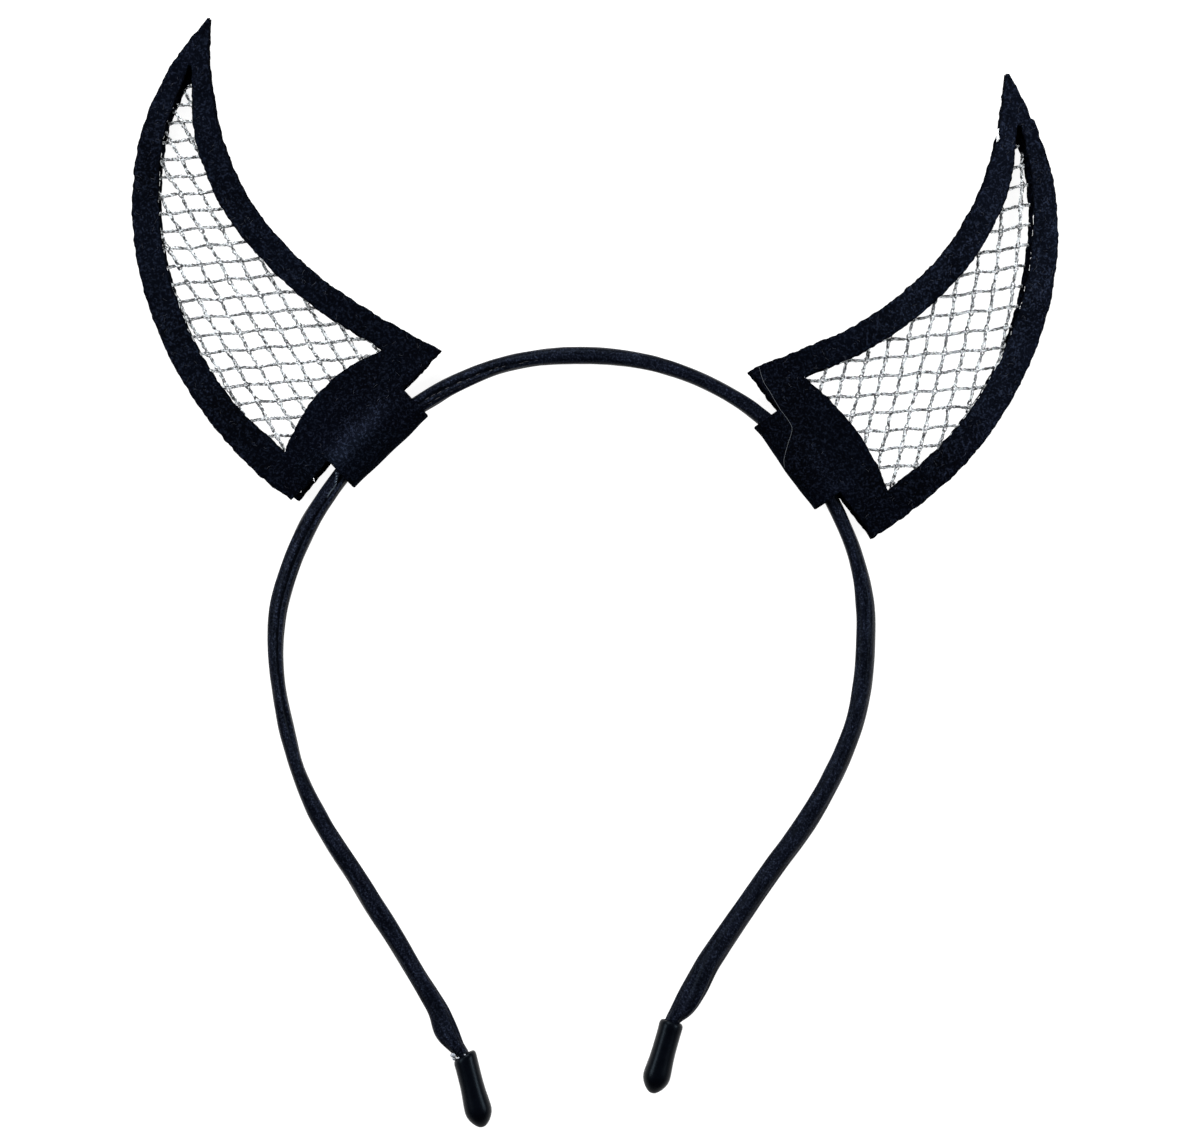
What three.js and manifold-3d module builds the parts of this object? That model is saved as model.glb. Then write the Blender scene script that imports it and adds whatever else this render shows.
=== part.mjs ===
// Devil horns headband, lying flat: a spring strip in a satin sleeve with rubber tips, and two felt
// horns folded round the band, each with a coarse net held between its layers in a crescent window.
// Millimetres, +X to the right, +Y towards the horn tips, +Z up from the surface it lies on.

import * as THREE from 'three';
import { mergeVertices } from 'three/addons/utils/BufferGeometryUtils.js';
import Module from 'manifold-3d';

const wasm = await Module();
wasm.setup();

// Thicknesses and the clear space between neighbours
const GAP = 0.3;
const FELT = 1.0;
const NET = { thickness: 0.6, columnThickness: 0.44, strand: 0.8, tuck: 1.6 };

// Spring strip and the bore of the sleeve round it
const STRIP = { thick: 0.6, deep: 2.4 };
const SLEEVE_BORE = { thick: 1.1, deep: 2.9 };
const SLEEVE_SIDES = 8;
const SLEEVE_DEEP = 5.0;
const STEPS_PER_ROW = 2;
const SLEEVE_POWER = 3;
const BORE_POWER = 6;

// Band from the left end to the right: centre line, sleeve size in the band's plane (thick) and
// across it (deep), and the tilt of the section in degrees. The first and last rows are the ends of
// the strip, the next ones the ends of the sleeve, and the third ones the mouths of the tips.
const BAND = [
  { x: -24.1, y: -104.6, thick: 2.4, deep: 4.2, tilt: 0 },
  { x: -25.0, y: -100.2, thick: 2.4, deep: 4.2, tilt: 0 },
  { x: -25.9, y: -96.3, thick: 2.4, deep: 4.2, tilt: 0 },
  { x: -27.2, y: -94.6, thick: 3.4, deep: 4.8, tilt: 2 },
  { x: -29.3, y: -91.8, thick: 5.0, deep: 5.3, tilt: 4 },
  { x: -31.5, y: -87.3, thick: 3.9, deep: 5.1, tilt: 6 },
  { x: -35.6, y: -80.4, thick: 3.5, deep: 5.0, tilt: 9 },
  { x: -39.7, y: -73.5, thick: 3.8, deep: 5.0, tilt: 10 },
  { x: -44.0, y: -66.8, thick: 4.0, deep: 5.0, tilt: 11 },
  { x: -48.2, y: -60.0, thick: 3.7, deep: 5.0, tilt: 9 },
  { x: -52.6, y: -53.3, thick: 3.6, deep: 5.0, tilt: 8 },
  { x: -56.5, y: -46.3, thick: 3.4, deep: 5.0, tilt: 5 },
  { x: -59.6, y: -38.9, thick: 2.7, deep: 5.0, tilt: 3 },
  { x: -61.7, y: -31.2, thick: 3.2, deep: 5.0, tilt: 2 },
  { x: -63.2, y: -23.3, thick: 2.7, deep: 5.0, tilt: 1 },
  { x: -63.9, y: -15.4, thick: 3.1, deep: 5.0, tilt: 0 },
  { x: -63.4, y: -7.4, thick: 3.6, deep: 5.0, tilt: 0 },
  { x: -61.4, y: 0.3, thick: 3.6, deep: 5.0, tilt: 0 },
  { x: -58.4, y: 7.7, thick: 3.6, deep: 5.0, tilt: 0 },
  { x: -54.4, y: 14.6, thick: 3.3, deep: 5.0, tilt: 0 },
  { x: -44.2, y: 27.2, thick: 3.2, deep: 5.0, tilt: 0 },
  { x: -32.2, y: 35.8, thick: 3.7, deep: 5.0, tilt: 0 },
  { x: -27.0, y: 38.6, thick: 3.6, deep: 5.0, tilt: 0 },
  { x: -19.6, y: 41.6, thick: 3.1, deep: 5.0, tilt: 0 },
  { x: -11.7, y: 43.2, thick: 3.2, deep: 5.0, tilt: 0 },
  { x: -3.7, y: 43.7, thick: 3.5, deep: 5.0, tilt: 0 },
  { x: 4.2, y: 43.3, thick: 3.3, deep: 5.0, tilt: 0 },
  { x: 12.1, y: 41.9, thick: 3.1, deep: 5.0, tilt: 0 },
  { x: 19.7, y: 39.4, thick: 2.9, deep: 5.0, tilt: 0 },
  { x: 26.9, y: 35.8, thick: 2.9, deep: 5.0, tilt: 0 },
  { x: 31.9, y: 32.5, thick: 3.2, deep: 5.0, tilt: 0 },
  { x: 42.6, y: 22.6, thick: 3.2, deep: 5.0, tilt: 0 },
  { x: 49.9, y: 9.2, thick: 2.8, deep: 5.0, tilt: 5 },
  { x: 52.6, y: 1.7, thick: 3.0, deep: 5.0, tilt: 7 },
  { x: 54.0, y: -6.2, thick: 3.7, deep: 5.0, tilt: 10 },
  { x: 54.1, y: -14.2, thick: 3.6, deep: 5.0, tilt: 14 },
  { x: 53.5, y: -22.1, thick: 3.6, deep: 5.0, tilt: 16 },
  { x: 51.9, y: -30.0, thick: 3.3, deep: 5.0, tilt: 18 },
  { x: 49.0, y: -37.5, thick: 3.5, deep: 5.0, tilt: 20 },
  { x: 45.4, y: -44.6, thick: 3.7, deep: 5.0, tilt: 21 },
  { x: 41.2, y: -51.4, thick: 3.9, deep: 5.0, tilt: 22 },
  { x: 36.5, y: -57.8, thick: 3.8, deep: 5.0, tilt: 23 },
  { x: 31.8, y: -64.4, thick: 3.8, deep: 5.0, tilt: 24 },
  { x: 27.3, y: -71.0, thick: 4.0, deep: 5.0, tilt: 24 },
  { x: 22.9, y: -77.6, thick: 4.4, deep: 5.0, tilt: 24 },
  { x: 20.0, y: -82.9, thick: 4.9, deep: 5.1, tilt: 16 },
  { x: 17.9, y: -86.4, thick: 4.7, deep: 4.9, tilt: 8 },
  { x: 15.4, y: -89.7, thick: 2.4, deep: 4.2, tilt: 0 },
  { x: 14.3, y: -93.5, thick: 2.4, deep: 4.2, tilt: 0 },
  { x: 13.1, y: -97.9, thick: 2.4, deep: 4.2, tilt: 0 },
];

// Rubber tips: bore from its blind end to the mouth, then the outside from the mouth to the round end
const TIP_SIDES = 14;
const TIP_POWER = 2.4;
const TIP_RINGS = [
  { along: 9.5, width: 3.0, height: 4.8 },
  { along: 0.0, width: 3.2, height: 5.0 },
  { along: 0.0, width: 4.5, height: 6.1 },
  { along: 0.6, width: 4.9, height: 6.5 },
  { along: 7.5, width: 4.9, height: 6.5 },
  { along: 11.4, width: 5.4, height: 6.7 },
  { along: 13.8, width: 4.4, height: 5.5 },
  { along: 14.85, width: 2.0, height: 2.6 },
];

// Heights above the surface: the band lies in its felt tabs and comes down to the tips
const TIP_AXIS = Math.max(...TIP_RINGS.map(({ height }) => height)) / 2;
const MID_PLANE = FELT + GAP + SLEEVE_DEEP / 2;
const TIPS_END_Y = -88.4;
const TABS_BEGIN_Y = 10.0;
const FRONT_UNDERSIDE = MID_PLANE + NET.thickness / 2 + GAP;
const BACK_UNDERSIDE = MID_PLANE - NET.thickness / 2 - GAP - FELT;
const TAB_LIFT = BACK_UNDERSIDE;

// Felt horns in their own pattern frame: u runs along the base to the outer corner, v up the horn.
// Each row is a section across the horn: its two edges, and the felt rims beside the window.
const FELT_COLUMNS = [0, 0.1, 0.2, 0.8, 0.9, 1];
const FELT_STEPS = 3;
const BACK_DROP = 0.6;
const LIFT_FADES = { from: 2.7, to: 12.0, fromSide: 13.4, toSide: 20.6 };
const TAB_OVERLAP = 1.2;
const TAB_INSIDE_RADIUS = 1.7;
const FOLD_STEPS = 5;

const HORNS = [
  {
    name: 'left', mirrored: true, x: -45.5, y: 29.8, turn: 46.0,
    tab: { lean: 2.2, centre: 0.4, half: 10.4, fold: 7.4 },
    windowRise: 3.4,
    rows: [
      { outer: [21.5, 0.0], inner: [-20.9, 0.0] },
      { outer: [22.4, 8.0], inner: [-18.5, 8.0], rims: [7.0, 5.6] },
      { outer: [21.4, 24.0], inner: [-15.2, 23.0], rims: [6.1, 5.7] },
      { outer: [16.5, 41.5], inner: [-14.4, 35.5], rims: [6.0, 5.6] },
      { outer: [5.9, 59.3], inner: [-15.9, 48.2], rims: [5.7, 5.7] },
      { outer: [-9.4, 72.4], inner: [-20.8, 60.6], rims: [4.8, 5.3] },
      { outer: [-23.6, 78.0], inner: [-28.8, 71.7], rims: [3.8, 3.8] },
      { outer: [-36.2, 79.4], inner: [-36.6, 79.0] },
    ],
    net: { x: -77.3, y: 51.2, rowPitch: 3.58, rowSlope: 0.09, rowFan: 0.0,
      columnPitch: 4.26, columnLean: -0.578, columnBend: 0.0 },
  },
  {
    name: 'right', mirrored: false, x: 43.3, y: 23.8, turn: 53.5,
    tab: { lean: -0.7, centre: -0.8, half: 10.3, fold: 6.3 },
    windowRise: 2.0,
    rows: [
      { outer: [20.7, 0.0], inner: [-20.7, 0.0] },
      { outer: [21.0, 3.2], inner: [-20.4, 3.0] },
      { outer: [21.1, 8.0], inner: [-18.9, 8.0], rims: [6.2, 5.7] },
      { outer: [19.8, 24.0], inner: [-15.5, 23.0], rims: [6.2, 5.7] },
      { outer: [13.1, 42.9], inner: [-15.4, 36.0], rims: [6.1, 5.8] },
      { outer: [2.2, 58.4], inner: [-17.6, 48.3], rims: [5.7, 5.7] },
      { outer: [-12.0, 69.7], inner: [-23.5, 60.6], rims: [4.8, 5.1] },
      { outer: [-25.4, 75.0], inner: [-29.8, 68.5], rims: [3.8, 3.8] },
      { outer: [-37.6, 77.0], inner: [-38.1, 76.4] },
    ],
    net: { x: 65.0, y: 40.0, rowPitch: 3.66, rowSlope: 0.07, rowFan: 0.0165,
      columnPitch: 3.81, columnLean: 0.25, columnBend: -0.003 },
  },
];
const NET_ROWS_EACH_WAY = 22;
const NET_SAMPLE = 0.2;
const NET_BEND_STEP = 12.0;
const WINDOW_STEPS = 15;
const SILL_STEPS = 8;
const TALL = 20;

// Finishes
const FINISHES = {
  spring: { color: 0x9a9ca0, roughness: 0.35, metalness: 1.0 },
  satin: { color: 0x0b0b0d, roughness: 0.45, metalness: 0.0 },
  rubber: { color: 0x0d0d0e, roughness: 0.5, metalness: 0.0 },
  felt: { color: 0x080a12, roughness: 0.95, metalness: 0.0 },
  net: { color: 0x9b9ea2, roughness: 0.35, metalness: 0.7 },
};

function namedMesh(name, geometry, finish) {
  const mesh = new THREE.Mesh(geometry, new THREE.MeshStandardMaterial(FINISHES[finish]));
  mesh.name = name;
  return mesh;
}

// Closed solids for joining and cutting, and back to geometry

function solidOf(geometry) {
  const bare = geometry.clone();
  bare.deleteAttribute('normal');
  bare.deleteAttribute('uv');
  const merged = mergeVertices(bare, 1e-4);
  const vertProperties = new Float32Array(merged.attributes.position.array);
  const triVerts = new Uint32Array(merged.index.array);
  return new wasm.Manifold(new wasm.Mesh({ numProp: 3, vertProperties, triVerts }));
}

function geometryOf(solid) {
  const mesh = solid.getMesh();
  const geometry = new THREE.BufferGeometry();
  geometry.setAttribute('position', new THREE.BufferAttribute(mesh.vertProperties, 3));
  geometry.setIndex(new THREE.BufferAttribute(mesh.triVerts, 1));
  return geometry;
}

function prism(points, depth, bottom) {
  const shape = new THREE.Shape(points.map(([x, y]) => new THREE.Vector2(x, y)));
  return new THREE.ExtrudeGeometry(shape, { depth, bevelEnabled: false }).translate(0, 0, bottom);
}

// Skin over rings of equal count: either closed round on itself, or with both end rings capped
function loft(rings, closed) {
  const count = rings[0].length;
  const positions = rings.flat().flatMap((point) => point.toArray());
  const index = [];
  const spans = closed ? rings.length : rings.length - 1;
  for (let i = 0; i < spans; i += 1) {
    const here = i * count;
    const next = ((i + 1) % rings.length) * count;
    for (let j = 0; j < count; j += 1) {
      const k = (j + 1) % count;
      index.push(here + j, here + k, next + k, here + j, next + k, next + j);
    }
  }
  if (!closed) {
    const last = (rings.length - 1) * count;
    for (let j = 1; j < count - 1; j += 1) {
      index.push(0, j + 1, j, last, last + j, last + j + 1);
    }
  }
  const geometry = new THREE.BufferGeometry();
  geometry.setAttribute('position', new THREE.Float32BufferAttribute(positions, 3));
  geometry.setIndex(index);
  return geometry;
}

// Rounded ring in the plane of two axes; a higher power gives squarer corners
function roundedRing({ centre, across, up }, width, height, sides, power) {
  const soften = (value) => Math.sign(value) * Math.abs(value) ** (2 / power);
  return Array.from({ length: sides }, (_, i) => {
    const angle = (i / sides) * 2 * Math.PI;
    return centre.clone()
      .addScaledVector(across, (width / 2) * soften(Math.cos(angle)))
      .addScaledVector(up, (height / 2) * soften(Math.sin(angle)));
  });
}

// Band

function bandHeight(y) {
  const share = THREE.MathUtils.clamp((y - TIPS_END_Y) / (TABS_BEGIN_Y - TIPS_END_Y), 0, 1);
  return THREE.MathUtils.lerp(TIP_AXIS, MID_PLANE, share);
}

const bandCurve = new THREE.CatmullRomCurve3(
  BAND.map(({ x, y }) => new THREE.Vector3(x, y, bandHeight(y))),
);
const BAND_STEPS = (BAND.length - 1) * STEPS_PER_ROW;

function bandFrame(step) {
  const row = Math.min(Math.floor(step / STEPS_PER_ROW), BAND.length - 2);
  const share = step / STEPS_PER_ROW - row;
  const between = (column) => THREE.MathUtils.lerp(BAND[row][column], BAND[row + 1][column], share);
  const along = bandCurve.getTangent(step / BAND_STEPS);
  const tilt = THREE.MathUtils.degToRad(between('tilt'));
  const level = new THREE.Vector3(-along.y, along.x, 0).normalize();
  return {
    centre: bandCurve.getPoint(step / BAND_STEPS),
    across: level.clone().applyAxisAngle(along, tilt),
    up: new THREE.Vector3().crossVectors(along, level).applyAxisAngle(along, tilt),
    thick: between('thick'),
    deep: between('deep'),
  };
}

function bandFrames(first, last) {
  return Array.from({ length: last - first + 1 }, (_, i) => bandFrame(first + i));
}

function stripGeometry() {
  const corners = [[1, 1], [-1, 1], [-1, -1], [1, -1]];
  const rings = bandFrames(0, BAND_STEPS).map(({ centre, across, up }) => corners.map(
    ([side, top]) => centre.clone()
      .addScaledVector(across, (side * STRIP.thick) / 2)
      .addScaledVector(up, (top * STRIP.deep) / 2),
  ));
  return loft(rings, false);
}

function sleeveGeometry() {
  const frames = bandFrames(STEPS_PER_ROW, BAND_STEPS - STEPS_PER_ROW);
  const outside = frames.map(
    (frame) => roundedRing(frame, frame.thick, frame.deep, SLEEVE_SIDES, SLEEVE_POWER),
  );
  const inside = frames.map(
    (frame) => roundedRing(frame, SLEEVE_BORE.thick, SLEEVE_BORE.deep, SLEEVE_SIDES, BORE_POWER),
  );
  return loft([...outside, ...inside.reverse()], true);
}

function tipGeometry(mouthRow, endRow) {
  const mouth = new THREE.Vector3(mouthRow.x, mouthRow.y, TIP_AXIS);
  const axis = new THREE.Vector3(endRow.x, endRow.y, TIP_AXIS).sub(mouth).normalize();
  const across = new THREE.Vector3(-axis.y, axis.x, 0);
  const up = new THREE.Vector3(0, 0, 1);
  const rings = TIP_RINGS.map(({ along, width, height }) => {
    const centre = mouth.clone().addScaledVector(axis, along);
    return roundedRing({ centre, across, up }, width, height, TIP_SIDES, TIP_POWER);
  });
  return loft(rings, false);
}

// Felt horns, made in the pattern frame and then placed on the band

const spline = (points) => new THREE.CatmullRomCurve3(
  points.map(([u, v]) => new THREE.Vector3(u, v, 0)),
);

// How far the felt stands off the net's level to pass over or under the band
function tabLift(u, v) {
  const alongHorn = 1 - THREE.MathUtils.smoothstep(v, LIFT_FADES.from, LIFT_FADES.to);
  const acrossHorn = 1 - THREE.MathUtils.smoothstep(Math.abs(u), LIFT_FADES.fromSide, LIFT_FADES.toSide);
  return TAB_LIFT * alongHorn * acrossHorn;
}

function feltLayer(rows, drop, underside) {
  const outer = spline(rows.map((row) => row.outer));
  const inner = spline(rows.map((row) => row.inner));
  const steps = (rows.length - 1) * FELT_STEPS;
  const columns = FELT_COLUMNS.length - 1;
  const sheet = new THREE.BoxGeometry(1, 1, 1, columns, steps, 1);
  const places = sheet.attributes.position;
  for (let i = 0; i < places.count; i += 1) {
    const alongHorn = places.getY(i) + 0.5;
    const acrossHorn = FELT_COLUMNS[Math.round((places.getX(i) + 0.5) * columns)];
    const point = inner.getPoint(alongHorn).lerp(outer.getPoint(alongHorn), acrossHorn);
    const thickness = places.getZ(i) > 0 ? FELT : 0;
    places.setXYZ(i, point.x, point.y - drop, underside(point.x, point.y) + thickness);
  }
  return solidOf(sheet);
}

// Points of the two window edges, moved out under the rims by the tuck
function windowEdges(rows, tuck) {
  const framed = rows.filter((row) => row.rims);
  const edge = (from, to, side) => spline(framed.map((row) => {
    const [u, v] = row[from];
    const [farU, farV] = row[to];
    const share = (row.rims[side] - tuck) / Math.hypot(farU - u, farV - v);
    return [u + (farU - u) * share, v + (farV - v) * share];
  })).getPoints(WINDOW_STEPS);
  return { outer: edge('outer', 'inner', 0), inner: edge('inner', 'outer', 1) };
}

function windowOutline({ rows, windowRise }, tuck) {
  const { outer, inner } = windowEdges(rows, tuck);
  const middle = outer[0].clone().lerp(inner[0], 0.5);
  const sill = new THREE.QuadraticBezierCurve3(
    inner[0].clone().setY(inner[0].y - tuck),
    middle.setY(middle.y + 2 * windowRise - tuck),
    outer[0].clone().setY(outer[0].y - tuck),
  ).getPoints(SILL_STEPS);
  return [...outer, ...inner.reverse(), ...sill].map(({ x, y }) => [x, y]);
}

// Tab folded round the band, as a section along the horn that is drawn out across it
function tabFold({ lean, centre, half, fold }) {
  const top = 2 * MID_PLANE;
  const outside = TAB_INSIDE_RADIUS + FELT;
  const turn = outside - fold;
  const section = new THREE.Shape();
  section.moveTo(TAB_OVERLAP, top);
  section.absarc(turn, top - outside, outside, Math.PI / 2, Math.PI, false);
  section.absarc(turn, outside, outside, Math.PI, 1.5 * Math.PI, false);
  section.lineTo(TAB_OVERLAP, 0);
  section.lineTo(TAB_OVERLAP, FELT);
  section.absarc(turn, outside, TAB_INSIDE_RADIUS, 1.5 * Math.PI, Math.PI, true);
  section.absarc(turn, top - outside, TAB_INSIDE_RADIUS, Math.PI, Math.PI / 2, true);
  section.lineTo(TAB_OVERLAP, top - FELT);
  const angle = THREE.MathUtils.degToRad(lean);
  const across = new THREE.Vector3(Math.cos(angle), Math.sin(angle), 0);
  const along = new THREE.Vector3(-Math.sin(angle), Math.cos(angle), 0);
  const placed = new THREE.Matrix4().makeBasis(along, new THREE.Vector3(0, 0, 1), across);
  const drawn = new THREE.ExtrudeGeometry(
    section,
    { depth: 2 * half, bevelEnabled: false, curveSegments: FOLD_STEPS },
  );
  return solidOf(drawn.translate(0, 0, centre - half).applyMatrix4(placed));
}

// From the pattern frame to the horn's place on the band
function onBand({ x, y, turn, mirrored }, u, v) {
  const angle = THREE.MathUtils.degToRad(turn);
  const right = u * Math.cos(angle) + v * Math.sin(angle);
  const up = v * Math.cos(angle) - u * Math.sin(angle);
  return [x + (mirrored ? -right : right), y + up];
}

function hornGeometry(horn) {
  const front = feltLayer(horn.rows, 0, (u, v) => FRONT_UNDERSIDE + tabLift(u, v));
  const back = feltLayer(horn.rows, BACK_DROP, (u, v) => BACK_UNDERSIDE - tabLift(u, v));
  const opening = windowOutline(horn, 0);
  const frontOpening = solidOf(prism(opening, TALL, -TALL / 2));
  const backOpening = solidOf(prism(opening, TALL, -TALL / 2).translate(0, -BACK_DROP, 0));
  const felt = front.subtract(frontOpening).add(back.subtract(backOpening)).add(tabFold(horn.tab));
  const geometry = geometryOf(felt);
  const places = geometry.attributes.position;
  for (let i = 0; i < places.count; i += 1) {
    const [x, y] = onBand(horn, places.getX(i), places.getY(i));
    places.setXY(i, x, y);
  }
  if (horn.mirrored) {
    const corners = geometry.index;
    for (let i = 0; i < corners.count; i += 3) {
      const second = corners.getX(i + 1);
      corners.setX(i + 1, corners.getX(i + 2));
      corners.setX(i + 2, second);
    }
  }
  return geometry;
}

// Nets: two families of strands, cut off under the rims

function isInside([x, y], outline) {
  let inside = false;
  outline.forEach(([ax, ay], i) => {
    const [bx, by] = outline[(i + 1) % outline.length];
    if ((ay > y) !== (by > y) && x < ax + ((y - ay) / (by - ay)) * (bx - ax)) {
      inside = !inside;
    }
  });
  return inside;
}

// Stretches of one strand that lie inside the outline, as paths of few points
function stretches(strand, from, to, bent, outline) {
  const found = [];
  let start = null;
  for (let place = from; place <= to; place += NET_SAMPLE) {
    const inside = isInside(strand(place), outline);
    if (inside && start === null) {
      start = place;
    }
    if (!inside && start !== null) {
      const begin = start;
      const length = place - begin;
      const pieces = bent ? Math.ceil(length / NET_BEND_STEP) : 1;
      found.push(Array.from({ length: pieces + 1 }, (_, i) => strand(begin + (length * i) / pieces)));
      start = null;
    }
  }
  return found;
}

function pathsCross(one, other) {
  const side = ([ax, ay], [bx, by], [px, py]) => Math.sign((bx - ax) * (py - ay) - (by - ay) * (px - ax));
  return one.slice(1).some((b, i) => other.slice(1).some((d, j) => {
    const a = one[i];
    const c = other[j];
    return side(a, b, c) !== side(a, b, d) && side(c, d, a) !== side(c, d, b);
  }));
}

// Strands that hang together, starting from the longest one
function heldTogether(rows, columns) {
  const strands = [...rows, ...columns];
  const span = (path) => Math.hypot(path.at(-1)[0] - path[0][0], path.at(-1)[1] - path[0][1]);
  const kept = new Set([strands.reduce((best, path) => (span(path) > span(best) ? path : best))]);
  kept.forEach((path) => {
    const others = rows.includes(path) ? columns : rows;
    others.filter((other) => pathsCross(path, other)).forEach((other) => kept.add(other));
  });
  return [...kept];
}

function strandSolid(path, thickness) {
  const sides = path.map(([x, y], i) => {
    const [ax, ay] = path[Math.max(i - 1, 0)];
    const [bx, by] = path[Math.min(i + 1, path.length - 1)];
    const scale = NET.strand / 2 / Math.hypot(bx - ax, by - ay);
    const offset = [(by - ay) * scale, (ax - bx) * scale];
    return { right: [x + offset[0], y + offset[1]], left: [x - offset[0], y - offset[1]] };
  });
  const outline = [...sides.map(({ right }) => right), ...sides.map(({ left }) => left).reverse()];
  return solidOf(prism(outline, thickness, MID_PLANE - thickness / 2));
}

function netGeometry(horn) {
  const { net } = horn;
  const outline = windowOutline(horn, NET.tuck).map(([u, v]) => onBand(horn, u, v));
  const reach = new THREE.Box2()
    .setFromPoints(outline.map(([x, y]) => new THREE.Vector2(x, y)))
    .expandByScalar(2 * NET_SAMPLE);
  const rows = [];
  const columns = [];
  for (let i = -NET_ROWS_EACH_WAY; i <= NET_ROWS_EACH_WAY; i += 1) {
    const slope = net.rowSlope + net.rowFan * Math.max(i, 0);
    const row = (x) => [x, net.y + i * net.rowPitch + slope * (x - net.x)];
    const column = (y) => {
      const rise = y - net.y;
      const drift = net.columnLean * rise + net.columnBend * Math.max(rise, 0) ** 2;
      return [net.x + i * net.columnPitch + drift, y];
    };
    rows.push(...stretches(row, reach.min.x, reach.max.x, false, outline));
    columns.push(...stretches(column, reach.min.y, reach.max.y, net.columnBend !== 0, outline));
  }
  const strands = heldTogether(rows, columns).map(
    (path) => strandSolid(path, rows.includes(path) ? NET.thickness : NET.columnThickness),
  );
  return geometryOf(strands.reduce((joined, strand) => joined.add(strand)));
}

// Assembly, with the origin on the surface below the middle of the part

const headband = new THREE.Group();
headband.add(namedMesh('band_core', stripGeometry(), 'spring'));
headband.add(namedMesh('band_cover', sleeveGeometry(), 'satin'));
headband.add(namedMesh('tip_left', tipGeometry(BAND[2], BAND[0]), 'rubber'));
headband.add(namedMesh('tip_right', tipGeometry(BAND.at(-3), BAND.at(-1)), 'rubber'));
for (const horn of HORNS) {
  headband.add(namedMesh(`horn_${horn.name}`, hornGeometry(horn), 'felt'));
  headband.add(namedMesh(`net_${horn.name}`, netGeometry(horn), 'net'));
}
const { min, max } = new THREE.Box3().setFromObject(headband);
headband.position.set(-(min.x + max.x) / 2, -(min.y + max.y) / 2, -min.z);

export default headband;
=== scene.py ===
"""Devil horns headband: a satin band with rubber tips, felt horns and silver net."""
import logging
import math
from dataclasses import dataclass, field
from enum import Enum

import bmesh
import bpy
import numpy as np
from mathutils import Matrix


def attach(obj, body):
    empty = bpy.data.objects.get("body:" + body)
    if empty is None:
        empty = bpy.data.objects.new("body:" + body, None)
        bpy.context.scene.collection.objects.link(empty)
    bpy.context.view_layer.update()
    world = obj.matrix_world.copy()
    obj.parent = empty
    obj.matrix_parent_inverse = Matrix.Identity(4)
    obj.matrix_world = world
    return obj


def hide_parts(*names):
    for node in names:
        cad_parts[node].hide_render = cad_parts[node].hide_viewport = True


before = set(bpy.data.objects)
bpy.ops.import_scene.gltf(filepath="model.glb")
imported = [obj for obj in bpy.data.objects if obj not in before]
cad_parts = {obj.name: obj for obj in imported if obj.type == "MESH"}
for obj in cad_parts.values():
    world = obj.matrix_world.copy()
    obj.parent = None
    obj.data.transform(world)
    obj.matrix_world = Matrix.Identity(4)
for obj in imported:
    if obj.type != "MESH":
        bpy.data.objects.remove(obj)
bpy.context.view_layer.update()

log = logging.getLogger("headband")

MM = 0.001
# The solids' frame is the measured one moved by this many millimetres.
SHIFT = np.array([0.0045, 0.0097, 0.0])
MID_PLANE = 3.8

Array = np.ndarray
Material = bpy.types.Material
Object = bpy.types.Object
Tree = bpy.types.NodeTree
Socket = bpy.types.NodeSocket
Color = tuple[float, float, float, float]
Inputs = dict[str | int, object]


class Side(Enum):
    """Which side of the headband a piece sits on, seen from above."""

    LEFT = "left"
    RIGHT = "right"


class Layer(Enum):
    """Which felt layer of a horn."""

    FRONT = "front"
    BACK = "back"


# Curves and small sums


def smooth(value: Array, low: float, high: float) -> Array:
    """Rises from 0 at low to 1 at high without a corner."""
    part = np.clip((np.asarray(value, float) - low) / (high - low), 0.0, 1.0)
    return part * part * (3.0 - 2.0 * part)


def bump(value: Array, middle: float, width: float) -> Array:
    """Gives a soft hill of height 1 round a middle."""
    return np.exp(-((value - middle) / width) ** 2)


def through(points: Array, steps: int) -> Array:
    """Draws a centripetal curve through points.

    Args:
        points: The points, one a row.
        steps: How many pieces each stretch between two points gets.

    Returns:
        The points of the curve, with the given ones among them.
    """
    points = np.asarray(points, float)
    ends = np.vstack([2 * points[0] - points[1], points, 2 * points[-1] - points[-2]])
    out = []
    for i in range(len(points) - 1):
        a, b, c, d = ends[i:i + 4]
        before, here, after = (max(np.linalg.norm(q - p), 1e-8) ** 0.5 for p, q in ((a, b), (b, c), (c, d)))
        go = ((b - a) / before - (c - a) / (before + here) + (c - b) / here) * here
        come = ((c - b) / here - (d - b) / (here + after) + (d - c) / after) * here
        t = (np.arange(steps) / steps)[:, None]
        out.append(b + go * t + (3 * (c - b) - 2 * go - come) * t ** 2 + (2 * (b - c) + go + come) * t ** 3)
    return np.vstack(out + [points[-1:]])


def arc_lengths(points: Array) -> Array:
    """Gives how far along the line each point is."""
    return np.concatenate([[0.0], np.cumsum(np.linalg.norm(np.diff(points, axis=0), axis=1))])


def evenly(points: Array, count: int) -> Array:
    """Puts count points evenly along the line through points."""
    length = arc_lengths(points)
    spots = np.linspace(0.0, length[-1], count)
    return np.stack([np.interp(spots, length, column) for column in points.T], axis=1)


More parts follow.
